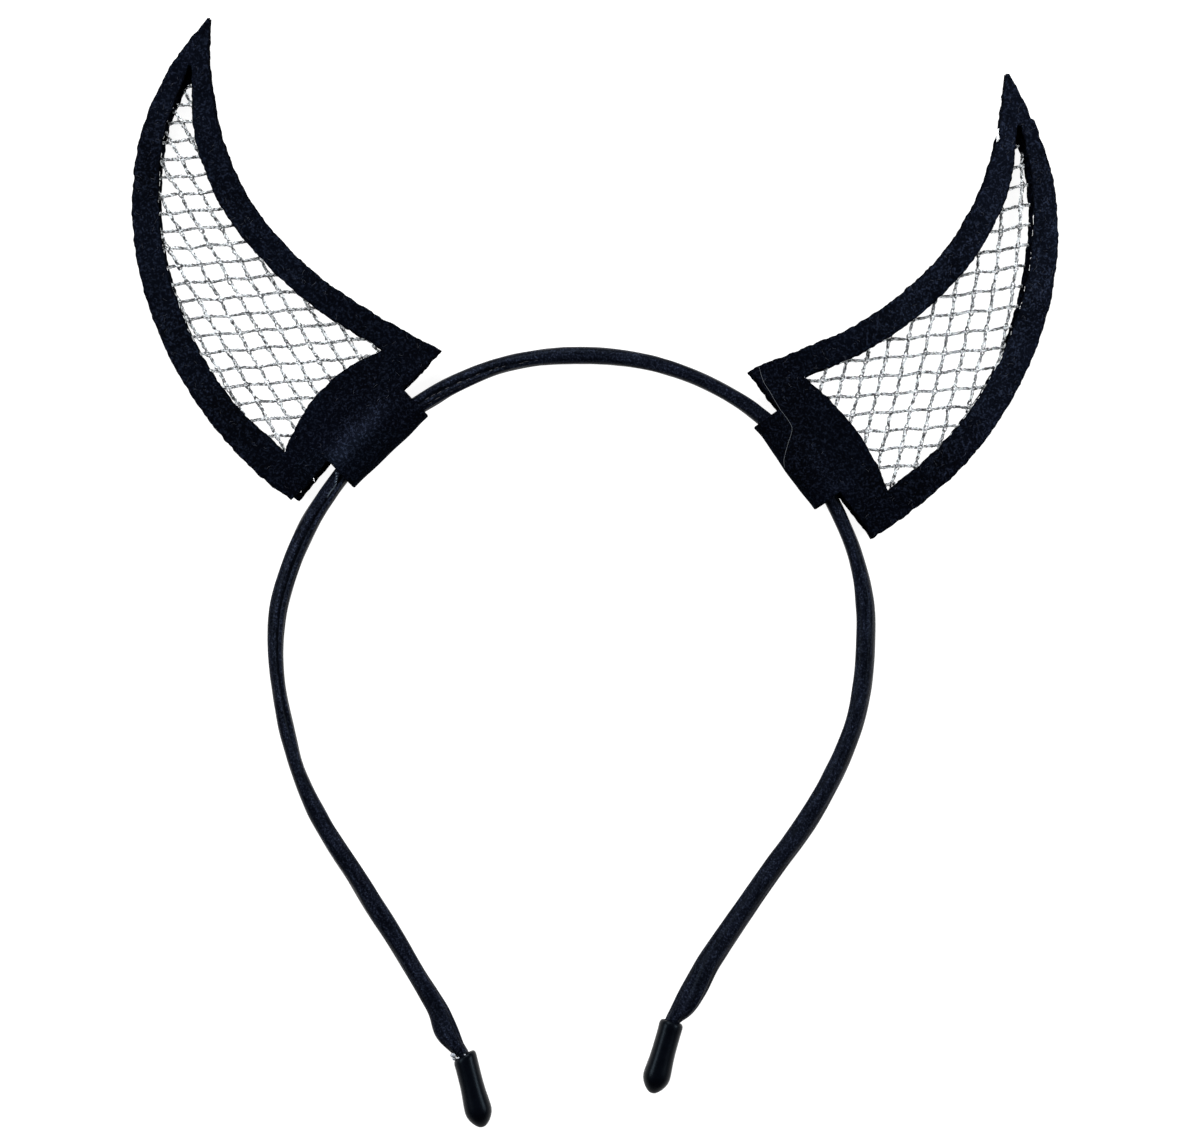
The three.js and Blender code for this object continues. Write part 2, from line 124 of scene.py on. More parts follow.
def unevenness(points: Array, size: float, seed: int) -> Array:
    """Gives a soft seeded noise.

    Args:
        points: Places, two or three columns.
        size: How far apart its bumps are, in the same unit.
        seed: Which noise.

    Returns:
        A value from -1 to 1 for each place.
    """
    cells = np.zeros((len(points), 3))
    cells[:, :points.shape[1]] = points
    cells = cells / size + 100.0
    base = np.floor(cells).astype(np.int64)
    part = cells - base
    part = part * part * (3.0 - 2.0 * part)
    total = np.zeros(len(points))
    for corner in np.ndindex(2, 2, 2):
        key = (base + corner) @ np.array([73856093, 19349663, 83492791]) + seed * 2654435
        key = ((key ^ (key >> 13)) * 1274126177) & 0x7FFFFFFF
        key = ((key ^ (key >> 15)) * 668265263) & 0x7FFFFFFF
        total += np.prod(np.where(corner, part, 1.0 - part), axis=1) * (key / 0x3FFFFFFF - 1.0)
    return total


def loop_normals(loop: Array) -> Array:
    """Gives the outward direction at each point of a closed flat loop."""
    along = np.roll(loop, -1, axis=0) - np.roll(loop, 1, axis=0)
    along /= np.linalg.norm(along, axis=1)[:, None]
    x, y = loop.T
    turning = np.sum(x * np.roll(y, -1) - y * np.roll(x, -1))
    return np.stack([along[:, 1], -along[:, 0]], axis=1) * np.sign(turning)


def inside(points: Array, loop: Array) -> Array:
    """Tells which flat points lie inside a closed loop."""
    held = np.zeros(len(points), bool)
    for (ax, ay), (bx, by) in zip(loop, np.roll(loop, -1, axis=0)):
        spans = (ay > points[:, 1]) != (by > points[:, 1])
        held ^= spans & (points[:, 0] < (bx - ax) * (points[:, 1] - ay) / (by - ay + 1e-12) + ax)
    return held


@dataclass
class MeshDraft:
    """Points in millimetres of the measured frame, and the faces between them, on the way to one object."""

    points: list[Array] = field(default_factory=list)
    faces: list[tuple[int, ...]] = field(default_factory=list)
    wraps: list[Array] = field(default_factory=list)
    count: int = 0

    def add(self, points: Array) -> Array:
        """Adds points and gives their numbers."""
        points = np.asarray(points, float).reshape(-1, 3)
        self.points.append(points)
        numbers = np.arange(self.count, self.count + len(points))
        self.count += len(points)
        return numbers

    def skin(self, rings: Array, around: bool, along: bool) -> None:
        """Puts four-sided faces between rings of point numbers.

        Args:
            rings: Point numbers, one ring a row.
            around: Whether each ring closes on itself.
            along: Whether the last ring joins the first.
        """
        rows = np.vstack([rings, rings[:1]]) if along else rings
        grid = np.hstack([rows, rows[:, :1]]) if around else rows
        quads = np.stack([grid[:-1, :-1], grid[:-1, 1:], grid[1:, 1:], grid[1:, :-1]], axis=-1).reshape(-1, 4)
        self.faces.extend(map(tuple, quads.tolist()))

    def rod(self, path: Array, radius: Array | float, sides: int, flat: float = 1.0) -> None:
        """Adds a round rod with closed, rounded ends along a path.

        Args:
            path: The points of its middle line.
            radius: Its radius, one number or one a point.
            sides: How many sides it has.
            flat: Its height for its width.
        """
        along = np.gradient(path, axis=0)
        along /= np.linalg.norm(along, axis=1)[:, None] + 1e-12
        level = np.stack([-along[:, 1], along[:, 0], np.zeros(len(path))], axis=1)
        level /= np.linalg.norm(level, axis=1)[:, None] + 1e-12
        up = np.cross(along, level)
        angle = np.arange(sides) * 2 * np.pi / sides
        size = np.broadcast_to(np.asarray(radius, float), (len(path),)).copy()
        taper = 0.6
        size[[0, -1]] *= taper
        ring = (level[:, None] * np.cos(angle)[None, :, None]
                + up[:, None] * np.sin(angle)[None, :, None] * flat)
        numbers = self.add(path[:, None] + ring * size[:, None, None]).reshape(len(path), sides)
        self.skin(numbers, around=True, along=False)
        for at, reach, row in ((0, -taper, numbers[0]), (-1, taper, numbers[-1])):
            pole = self.add(path[at] + along[at] * size[at] * reach)[0]
            self.faces.extend((int(a), int(b), int(pole)) for a, b in zip(row, np.roll(row, -1)))

    def finish(self, name: str, material: Material, slot: str, *nodes: str) -> Object:
        """Makes the object, dresses it and hangs it on the frame.

        Args:
            name: The piece's name.
            material: Its finish.
            slot: The record's slot that the finish belongs to; it is not used.
            *nodes: The solids it stands for.

        Returns:
            The finished object.
        """
        mesh = bpy.data.meshes.new(name)
        mesh.from_pydata(((np.vstack(self.points) + SHIFT) * MM).tolist(), [], self.faces)
        if self.wraps:
            wrap = np.vstack(self.wraps)
            layer = mesh.uv_layers.new(name="wrap")
            corners = np.empty(len(mesh.loops), np.int32)
            mesh.loops.foreach_get("vertex_index", corners)
            layer.data.foreach_set("uv", wrap[corners].astype(np.float32).ravel())
        work = bmesh.new()
        work.from_mesh(mesh)
        bmesh.ops.delete(work, geom=[v for v in work.verts if not v.link_faces], context="VERTS")
        bmesh.ops.recalc_face_normals(work, faces=work.faces)
        for face in work.faces:
            face.smooth = True
        work.to_mesh(mesh)
        work.free()
        mesh.materials.append(material)
        piece = bpy.data.objects.new(name, mesh)
        bpy.context.scene.collection.objects.link(piece)
        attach(piece, "root")
        if nodes:
            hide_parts(*nodes)
        log.info("%s: %d faces", name, len(mesh.polygons))
        return piece


# Finishes


class Bench:
    """Places nodes in a tree and joins them up."""

    def __init__(self, tree: Tree) -> None:
        """Starts on an empty tree."""
        self.tree = tree
        self.column = 0

    def put(self, kind: str, sockets: Inputs | None = None, **settings: object) -> bpy.types.Node:
        """Places one node.

        Args:
            kind: The node's type.
            sockets: A value or another node's socket for each input.
            **settings: The node's own settings.

        Returns:
            The node.
        """
        node = self.tree.nodes.new(kind)
        node.location = (self.column * 190.0, 0.0)
        self.column += 1
        for name, value in settings.items():
            setattr(node, name, value)
        self.join(node, sockets or {})
        return node

    def join(self, node: bpy.types.Node, sockets: Inputs) -> None:
        """Sets a node's inputs to values, or joins them to other nodes' sockets."""
        for name, value in sockets.items():
            if isinstance(value, bpy.types.NodeSocket):
                self.tree.links.new(value, node.inputs[name])
            else:
                node.inputs[name].default_value = value

    def mark(self, name: str) -> Socket:
        """Reads a mark that a mesh carries at its points."""
        return self.put("ShaderNodeAttribute", attribute_name=name).outputs["Fac"]

    def effect(self, group: Tree, sockets: Inputs) -> dict[str, Socket]:
        """Places a shared effect with its own values, and gives its outputs by name."""
        node = self.put("ShaderNodeGroup", sockets, node_tree=group)
        return {socket.name: socket for socket in node.outputs}

    def relief(self, height: Socket, strength: float, depth: float) -> Socket:
        """Turns a height into a normal that is uneven by so many metres."""
        node = self.put("ShaderNodeBump", {"Strength": strength, "Distance": depth, "Height": height})
        return node.outputs[0]

    def noise(self, spot: Socket, scale: Socket, detail: float) -> Socket:
        """Gives soft noise at each place."""
        return self.put("ShaderNodeTexNoise", {"Vector": spot, "Scale": scale, "Detail": detail}).outputs[0]

    def stretch(self, spot: Socket, by: Socket | tuple[float, float, float]) -> Socket:
        """Multiplies a place by one number for each axis."""
        return self.put("ShaderNodeVectorMath", {0: spot, 1: by}, operation="MULTIPLY").outputs[0]

    def ramp(self, value: Socket, low: float, high: float, to: tuple[float, float] = (0.0, 1.0)) -> Socket:
        """Spreads a value from low..high to the range in to, and clips it."""
        return self.put("ShaderNodeMapRange", {"Value": value, "From Min": low, "From Max": high,
                                               "To Min": to[0], "To Max": to[1]}).outputs["Result"]

    def sum(self, how: str, a: Socket | float, b: Socket | float) -> Socket:
        """Works out a and b with the named sum."""
        return self.put("ShaderNodeMath", {0: a, 1: b}, operation=how).outputs[0]

    def blend(self, share: Socket, a: object, b: object, how: str = "MIX") -> Socket:
        """Mixes colour b over colour a by a share."""
        node = self.put("ShaderNodeMix", {0: share, 6: a, 7: b}, data_type="RGBA", blend_type=how)
        return node.outputs[2]


def new_group(name: str, inputs: dict[str, tuple[str, object]],
              outputs: dict[str, str]) -> tuple[Tree, Bench]:
    """Makes an empty shader group with named sockets.

    Args:
        name: The group's name.
        inputs: For each input its socket type and first value.
        outputs: For each output its socket type.

    Returns:
        The group and a bench to fill it.
    """
    tree = bpy.data.node_groups.new(name, "ShaderNodeTree")
    for label, (kind, value) in inputs.items():
        socket = tree.interface.new_socket(label, in_out="INPUT", socket_type=kind)
        if value is not None:
            socket.default_value = value
    for label, kind in outputs.items():
        tree.interface.new_socket(label, in_out="OUTPUT", socket_type=kind)
    return tree, Bench(tree)


class Effects:
    """The shader groups that several finishes share, each made once."""

    def __init__(self) -> None:
        """Makes the groups."""
        self.clouds = self._clouds()
        self.fibres = self._fibres()

    @staticmethod
    def _clouds() -> Tree:
        """Soft uneven tone: broad clouds with a finer grain on them."""
        tree, bench = new_group("uneven_tone", {
            "Vector": ("NodeSocketVector", None), "Broad": ("NodeSocketFloat", 80.0),
            "Fine": ("NodeSocketFloat", 900.0), "Dark": ("NodeSocketColor", (0, 0, 0, 1)),
            "Light": ("NodeSocketColor", (1, 1, 1, 1))},
            {"Color": "NodeSocketColor", "Tone": "NodeSocketFloat"})
        given = bench.put("NodeGroupInput").outputs
        broad = bench.noise(given["Vector"], given["Broad"], 3.0)
        fine = bench.noise(given["Vector"], given["Fine"], 2.0)
        tone = bench.sum("ADD", bench.sum("MULTIPLY", broad, 0.6), bench.sum("MULTIPLY", fine, 0.4))
        tone = bench.ramp(tone, 0.3, 0.7)
        color = bench.blend(tone, given["Dark"], given["Light"])
        bench.put("NodeGroupOutput", {"Color": color, "Tone": tone})
        return tree

    @staticmethod
    def _fibres() -> Tree:
        """Short fine fibres lying several ways, as a mask and as a height."""
        tree, bench = new_group("short_fibres", {
            "Vector": ("NodeSocketVector", None), "Scale": ("NodeSocketFloat", 2500.0),
            "Stretch": ("NodeSocketFloat", 5.0), "Sparse": ("NodeSocketFloat", 0.6)},
            {"Mask": "NodeSocketFloat", "Height": "NodeSocketFloat"})
        given = bench.put("NodeGroupInput").outputs
        best: Socket | None = None
        slack = bench.sum("DIVIDE", 1.0, given["Stretch"])
        squeeze = bench.put("ShaderNodeCombineXYZ", {0: slack, 1: 1.0, 2: 1.0}).outputs[0]
        for turn in (0.35, 1.4, 2.5):
            turned = bench.put("ShaderNodeVectorRotate", {"Vector": given["Vector"], "Angle": turn},
                               rotation_type="Z_AXIS").outputs[0]
            noise = bench.noise(bench.stretch(turned, squeeze), given["Scale"], 1.0)
            best = noise if best is None else bench.sum("MAXIMUM", best, noise)
        mask = bench.put("ShaderNodeMapRange", {"Value": best, "From Min": given["Sparse"], "From Max": 0.85})
        bench.put("NodeGroupOutput", {"Mask": mask.outputs["Result"], "Height": best})
        return tree


def new_finish(name: str) -> tuple[Material, Bench, bpy.types.Node]:
    """Starts a finish.

    Args:
        name: The finish's name.

    Returns:
        The material, a bench for its nodes and its shader.
    """
    material = bpy.data.materials.new(name)
    material.use_nodes = True
    tree = material.node_tree
    return material, Bench(tree), tree.nodes["Principled BSDF"]


def rgb(red: float, green: float, blue: float) -> Color:
    """Gives a colour with its fourth number."""
    return (red, green, blue, 1.0)


@dataclass(frozen=True)
class FeltFinish:
    """Near-black felt with a fine speckle of paler fibres."""

    dark: Color = rgb(0.0001, 0.0002, 0.0005)
    light: Color = rgb(0.0005, 0.0009, 0.0024)
    fibre: Color = rgb(0.015, 0.021, 0.039)
    sheen: Color = rgb(0.45, 0.55, 0.8)
    # painted shade: how far the cut edges are darkened
    painted_edge_shade: float = 0.9

    def material(self, effects: Effects) -> Material:
        """Makes the felt, with a painted sheen where it lies over the band, paler further up the horn's
        front, and with painted shade on its cut edges.
        """
        made, bench, shader = new_finish("navy_black_felt")
        spot = bench.put("ShaderNodeTexCoord").outputs["Object"]
        tone = bench.effect(effects.clouds, {"Vector": spot, "Broad": 70.0, "Fine": 2100.0,
                                             "Dark": self.dark, "Light": self.light})
        hair = bench.effect(effects.fibres, {"Vector": spot, "Scale": 2300.0, "Stretch": 1.6, "Sparse": 0.58})
        # the mark holds a painted sheen on the tab over the band, and a paler tone further up the front layer
        paler_and_sheen, cut = bench.mark("paler_and_sheen"), bench.mark("cut")
        share = bench.sum("MULTIPLY", hair["Mask"], bench.ramp(paler_and_sheen, 0.0, 0.4, (0.36, 1.0)))
        paled = bench.sum("MULTIPLY", paler_and_sheen, bench.ramp(tone["Tone"], 0.0, 1.0, (0.10, 0.34)))
        share = bench.sum("ADD", share, paled)
        color = bench.blend(share, tone["Color"], self.fibre)
        # painted shade on the cut edges
        color = bench.blend(bench.sum("MULTIPLY", cut, self.painted_edge_shade), color, self.dark)
        bench.join(shader, {
            "Base Color": color, "Roughness": bench.ramp(tone["Tone"], 0.0, 1.0, (0.86, 0.98)),
            "Normal": bench.relief(hair["Height"], 0.55, 0.00012), "Specular IOR Level": 0.01,
            "Sheen Weight": 0.004, "Sheen Roughness": 0.4, "Sheen Tint": self.sheen})
        return made


@dataclass(frozen=True)
class SatinFinish:
    """Black satin with a fine lengthwise grain and a soft gloss."""

    dark: Color = rgb(0.0003, 0.0004, 0.0008)
    light: Color = rgb(0.0010, 0.0014, 0.0028)
    thread: Color = rgb(0.050, 0.066, 0.112)
    # paler lengthwise streaks in the grain, a painted sheen
    sheen_streak: Color = rgb(0.006, 0.008, 0.016)
    # painted glint on the pinch
    painted_glint: Color = rgb(0.15, 0.19, 0.24)
    shine: Color = rgb(0.6, 0.78, 1.0)
    sheen: Color = rgb(0.6, 0.65, 0.85)
    # how far the painted sheen streaks are drawn out along the band, and how much of the thread shows
    drawn: tuple[float, float, float] = (0.14, 1.0, 1.0)
    shown: float = 0.95
    # painted shade: how far the seam's groove is darkened
    painted_groove_shade: float = 0.9

    def material(self, effects: Effects) -> Material:
        """Makes the satin, whose grain follows the band's wrap, with painted highlights on the ridges beside
        the seam and on the pinch, painted sheen streaks along the band, and painted shade in the seam's
        groove.
        """
        made, bench, shader = new_finish("black_satin")
        wrap = bench.put("ShaderNodeUVMap", uv_map="wrap").outputs[0]
        spot = bench.put("ShaderNodeTexCoord").outputs["Object"]
        # marks for the painted shade in the seam's groove and the painted highlight on the ridges and the
        # pinch
        groove, paler_and_sheen = bench.mark("groove"), bench.mark("paler_and_sheen")
        tone = bench.effect(effects.clouds, {"Vector": spot, "Broad": 160.0, "Fine": 2200.0,
                                             "Dark": self.dark, "Light": self.light})
        hair = bench.effect(effects.fibres, {"Vector": wrap, "Scale": 3300.0, "Stretch": 1.8,
                                             "Sparse": 0.575})
        drawn = bench.stretch(wrap, self.drawn)
        sheen_streak = bench.effect(effects.clouds, {"Vector": drawn, "Broad": 1100.0, "Fine": 2600.0})["Tone"]
        # more pale thread where the painted highlight lies on the ridges
        share = bench.sum("MULTIPLY", hair["Mask"], bench.ramp(paler_and_sheen, 0.0, 0.5, (0.55, 1.0)))
        share = bench.sum("MULTIPLY", share, bench.ramp(sheen_streak, 0.2, 0.9, (0.2, 1.0)))
        share = bench.sum("MULTIPLY", share, self.shown)
        # lengthwise streaks in the grain, painted paler as a sheen
        color = bench.blend(bench.ramp(sheen_streak, 0.3, 0.9, (0.05, 0.4)), tone["Color"], self.sheen_streak)
        color = bench.blend(share, color, self.thread)
        # painted glint where the pinch stands up
        color = bench.blend(bench.ramp(paler_and_sheen, 0.6, 1.0), color, self.painted_glint)
        # painted shade darkens the seam's groove; its roughness goes to full there
        color = bench.blend(bench.sum("MULTIPLY", groove, self.painted_groove_shade), color, self.dark)
        rough = bench.sum("MAXIMUM", bench.ramp(tone["Tone"], 0.0, 1.0, (0.26, 0.38)), groove)
        bench.join(shader, {
            "Base Color": color, "Roughness": rough, "Normal": bench.relief(hair["Height"], 0.6, 0.00012),
            "Specular IOR Level": 0.014, "Specular Tint": self.shine,
            "Sheen Weight": 0.002, "Sheen Roughness": 0.35, "Sheen Tint": self.sheen})
        return made


@dataclass(frozen=True)
class RubberFinish:
    """Black rubber with a low gloss and a faint blue tone."""

    dark: Color = rgb(0.0004, 0.0006, 0.0013)
    light: Color = rgb(0.0008, 0.0012, 0.0026)
    shine: Color = rgb(0.6, 0.8, 1.0)

    def material(self, effects: Effects) -> Material:
        """Makes the rubber."""
        made, bench, shader = new_finish("black_rubber")
        spot = bench.put("ShaderNodeTexCoord").outputs["Object"]
        tone = bench.effect(effects.clouds, {"Vector": spot, "Broad": 260.0, "Fine": 3000.0,
                                             "Dark": self.dark, "Light": self.light})
        bench.join(shader, {
            "Base Color": tone["Color"], "Roughness": bench.ramp(tone["Tone"], 0.0, 1.0, (0.32, 0.44)),
            "Normal": bench.relief(tone["Tone"], 0.15, 0.00006),
            "Specular IOR Level": 0.05, "Specular Tint": self.shine})
        return made


@dataclass(frozen=True)
class YarnFinish:
    """Silver metallic yarn: flat foil turned round a core, bright and dark by turns."""

    name: str = "silver_yarn"
    dark: Color = rgb(0.010, 0.012, 0.014)
    light: Color = rgb(0.52, 0.55, 0.57)
    spread: tuple[float, float] = (0.49, 0.59)
    # painted glint colour on the foil
    painted_glint: Color = rgb(0.95, 0.97, 1.0)

    def material(self, effects: Effects) -> Material:
        """Makes the yarn, with painted glints where the foil's mask is high."""
        made, bench, shader = new_finish(self.name)
        spot = bench.put("ShaderNodeTexCoord").outputs["Object"]
        tone = bench.effect(effects.clouds, {"Vector": spot, "Broad": 1700.0, "Fine": 3800.0,
                                             "Dark": self.dark, "Light": self.light})["Tone"]
        foil = bench.effect(effects.fibres, {"Vector": spot, "Scale": 2600.0, "Stretch": 2.0, "Sparse": 0.64})
        color = bench.blend(bench.ramp(tone, *self.spread), self.dark, self.light)
        # painted glints on the foil
        color = bench.blend(foil["Mask"], color, self.painted_glint)
        bench.join(shader, {
            "Base Color": color, "Roughness": bench.ramp(tone, 0.0, 1.0, (0.5, 0.28)),
            "Normal": bench.relief(foil["Height"], 0.5, 0.00008), "Metallic": 0.4})
        return made


@dataclass(frozen=True)
class PlainFinish:
    """A small piece's finish: two tones in clouds, with one gloss."""

    name: str
    dark: Color
    light: Color
    gloss: tuple[float, float]
    metal: float = 0.0
    broad: float = 500.0
    fine: float = 3000.0
    glow: float = 0.0

    def material(self, effects: Effects) -> Material:
        """Makes the finish."""
        made, bench, shader = new_finish(self.name)
        spot = bench.put("ShaderNodeTexCoord").outputs["Object"]
        tone = bench.effect(effects.clouds, {"Vector": spot, "Broad": self.broad, "Fine": self.fine,
                                             "Dark": self.dark, "Light": self.light})
        bench.join(shader, {
            "Base Color": tone["Color"], "Roughness": bench.ramp(tone["Tone"], 0.0, 1.0, self.gloss),
            "Normal": bench.relief(tone["Tone"], 0.12, 0.0001), "Metallic": self.metal,
            "Emission Color": rgb(1.0, 1.0, 1.0), "Emission Strength": self.glow})
        return made


@dataclass
class Finishes:
    """Every finish of the headband, made once."""

    effects: Effects = field(default_factory=Effects)

    def __post_init__(self) -> None:
        """Makes the materials."""
        self.felt = FeltFinish().material(self.effects)
        self.satin = SatinFinish().material(self.effects)
        self.rubber = RubberFinish().material(self.effects)
        self.yarn = YarnFinish().material(self.effects)
        self.foil = YarnFinish("foil_scraps", rgb(0.2, 0.21, 0.22), rgb(0.8, 0.82, 0.84),
                               (0.2, 0.5)).material(self.effects)
        self.steel = PlainFinish("spring_steel", rgb(0.36, 0.37, 0.39), rgb(0.58, 0.59, 0.61), (0.25, 0.42),
                                 metal=1.0).material(self.effects)
        self.glue = PlainFinish("dried_glue", rgb(0.07, 0.08, 0.10), rgb(0.3, 0.33, 0.37),
                                (0.1, 0.24)).material(self.effects)
        self.lint = PlainFinish("felt_lint", rgb(0.006, 0.008, 0.014), rgb(0.014, 0.018, 0.03),
                                (0.7, 0.9)).material(self.effects)
        self.pale_lint = PlainFinish("pale_lint", rgb(0.018, 0.023, 0.028), rgb(0.05, 0.06, 0.07),
                                     (0.6, 0.85)).material(self.effects)
        self.stitch = PlainFinish("seam_stitches", rgb(0.005, 0.005, 0.008), rgb(0.03, 0.03, 0.034),
                                  (0.4, 0.6)).material(self.effects)
        self.floor = PlainFinish("pale_floor", rgb(0.2, 0.2, 0.2), rgb(0.22, 0.22, 0.22), (0.88, 0.95),
                                 broad=3.0, fine=240.0, glow=0.94).material(self.effects)


# The studio


@dataclass
class Studio:
    """The pale floor, the soft lamps and the camera straight above."""

    frame_width: float = 0.240
    camera_height: float = 1.8
    sensor: float = 36.0
    aim: tuple[float, float] = (0.0010, 0.00015)
    floor_half: float = 3.0
    # strength of the surroundings at the tips' side and at the horns' side
    air: tuple[float, float] = (0.05, 0.09)
    # name, place and size in metres, and power in watts
    lamps: tuple[tuple[str, tuple[float, float, float], float, float], ...] = (
        ("far_light", (-0.15, 0.85, 0.5), 0.4, 13.0), ("left_light", (-0.75, 0.15, 0.6), 0.35, 10.0),
        ("right_light", (0.75, 0.1, 0.55), 0.35, 10.0))

    def build(self, finishes: Finishes) -> None:
        """Sets up the studio."""
        self._floor(finishes.floor)
        self._camera()
        self._lights()

    def _floor(self, material: Material) -> None:
        """Lays the floor, a sheet that is a little finer near the middle."""
        ticks = np.sinh(np.linspace(-3.0, 3.0, 25)) / math.sinh(3.0) * self.floor_half
        draft = [(float(x), float(y), 0.0) for y in ticks for x in ticks]
        size = len(ticks)
        faces = [(j * size + i, j * size + i + 1, (j + 1) * size + i + 1, (j + 1) * size + i)
                 for j in range(size - 1) for i in range(size - 1)]
        mesh = bpy.data.meshes.new("floor")
        mesh.from_pydata(draft, [], faces)
        mesh.materials.append(material)
        floor = bpy.data.objects.new("floor", mesh)
        bpy.context.scene.collection.objects.link(floor)

    def _camera(self) -> None:
        """Hangs the camera over the headband, looking straight down."""
        data = bpy.data.cameras.new("camera")
        data.sensor_width = self.sensor
        data.lens = self.sensor * self.camera_height / self.frame_width
        data.clip_start = 0.01
        camera = bpy.data.objects.new("camera", data)
        camera.location = (*self.aim, self.camera_height + MID_PLANE * MM)
        bpy.context.scene.collection.objects.link(camera)
        bpy.context.scene.camera = camera

    def _lights(self) -> None:
        """Dims the surroundings, still white to the camera, and hangs three soft lamps round the part."""
        world = bpy.data.worlds.new("studio_air")
        world.use_nodes = True
        bench = Bench(world.node_tree)
        spot = bench.put("ShaderNodeTexCoord").outputs["Generated"]
        far = bench.put("ShaderNodeSeparateXYZ", {0: spot}).outputs["Y"]
        seen = bench.put("ShaderNodeLightPath").outputs["Is Camera Ray"]
        strength = bench.sum("MAXIMUM", bench.ramp(far, -1.0, 1.0, self.air), seen)
        bench.join(world.node_tree.nodes["Background"], {"Color": rgb(1.0, 1.0, 1.0), "Strength": strength})
        bpy.context.scene.world = world
        bpy.context.scene.view_settings.view_transform = "Standard"
        for name, place, size, power in self.lamps:
            data = bpy.data.lights.new(name, "AREA")
            data.size = size
            data.energy = power
            lamp = bpy.data.objects.new(name, data)
            lamp.location = place
            x, y, height = place
            tilt, turn = math.atan2(math.hypot(x, y), height), math.atan2(-y, -x) - math.pi / 2
            lamp.rotation_euler = (tilt, 0.0, turn)
            bpy.context.scene.collection.objects.link(lamp)


# The band


# From the left tip over the crown to the right one: x, y, thickness and depth in mm, tilt in degrees.
BAND_ROWS = np.array([
    (-24.1, -104.6, 2.4, 4.2, 0), (-25.0, -100.2, 2.4, 4.2, 0), (-26.5, -96.3, 2.4, 4.2, 0),
    (-27.8, -94.6, 3.2, 4.8, 2), (-29.6, -91.8, 4.9, 5.3, 4), (-31.5, -87.3, 3.9, 5.1, 6),
    (-35.6, -80.4, 3.5, 5.0, 9), (-39.7, -73.5, 3.8, 5.0, 10), (-44.0, -66.8, 4.0, 5.0, 11),
    (-48.2, -60.0, 3.7, 5.0, 9), (-52.6, -53.3, 3.6, 5.0, 8), (-56.5, -46.3, 3.4, 5.0, 5),
    (-59.6, -38.9, 2.7, 5.0, 3), (-61.7, -31.2, 3.2, 5.0, 2), (-63.2, -23.3, 2.7, 5.0, 1),
    (-63.9, -15.4, 3.1, 5.0, 0), (-63.4, -7.4, 3.6, 5.0, 0), (-61.32, 0.28, 3.76, 5.0, 0),
    (-58.29, 7.65, 3.84, 5.0, 0), (-54.3, 14.53, 3.54, 5.0, 0), (-44.2, 27.2, 3.2, 5.0, 0),
    (-32.2, 35.6, 3.7, 5.0, 0), (-27.0, 38.35, 3.6, 5.0, 0), (-19.6, 41.35, 3.1, 5.0, 0),
    (-11.7, 43.05, 3.2, 5.0, 0), (-3.7, 43.55, 3.5, 5.0, 0), (4.2, 43.2, 3.3, 5.0, 0),
    (12.1, 41.8, 3.1, 5.0, 0), (19.7, 39.3, 2.9, 5.0, 0), (26.9, 35.7, 2.9, 5.0, 0),
    (31.9, 32.4, 3.2, 5.0, 0), (42.6, 22.6, 3.2, 5.0, 0), (49.9, 9.2, 2.8, 5.0, 5),
    (52.6, 1.7, 3.0, 5.0, 7), (54.0, -6.2, 3.7, 5.0, 10), (54.1, -14.2, 3.6, 5.0, 14),
    (53.5, -22.1, 3.6, 5.0, 16), (51.9, -30.0, 3.3, 5.0, 18), (49.0, -37.5, 3.5, 5.0, 20),
    (45.4, -44.6, 3.7, 5.0, 21), (41.2, -51.4, 3.9, 5.0, 22), (36.5, -57.8, 3.8, 5.0, 23),
    (31.8, -64.4, 3.8, 5.0, 24), (27.3, -71.0, 4.0, 5.0, 24), (22.9, -77.6, 4.4, 5.0, 24),
    (20.0, -82.9, 4.9, 5.1, 16), (17.9, -86.4, 4.7, 4.9, 8), (15.4, -89.7, 2.4, 4.2, 0),
    (14.3, -93.5, 2.4, 4.2, 0), (13.1, -97.9, 2.4, 4.2, 0)], float)
TIP_AXIS = 3.35
TIPS_END_Y = -88.4
TABS_BEGIN_Y = 10.0


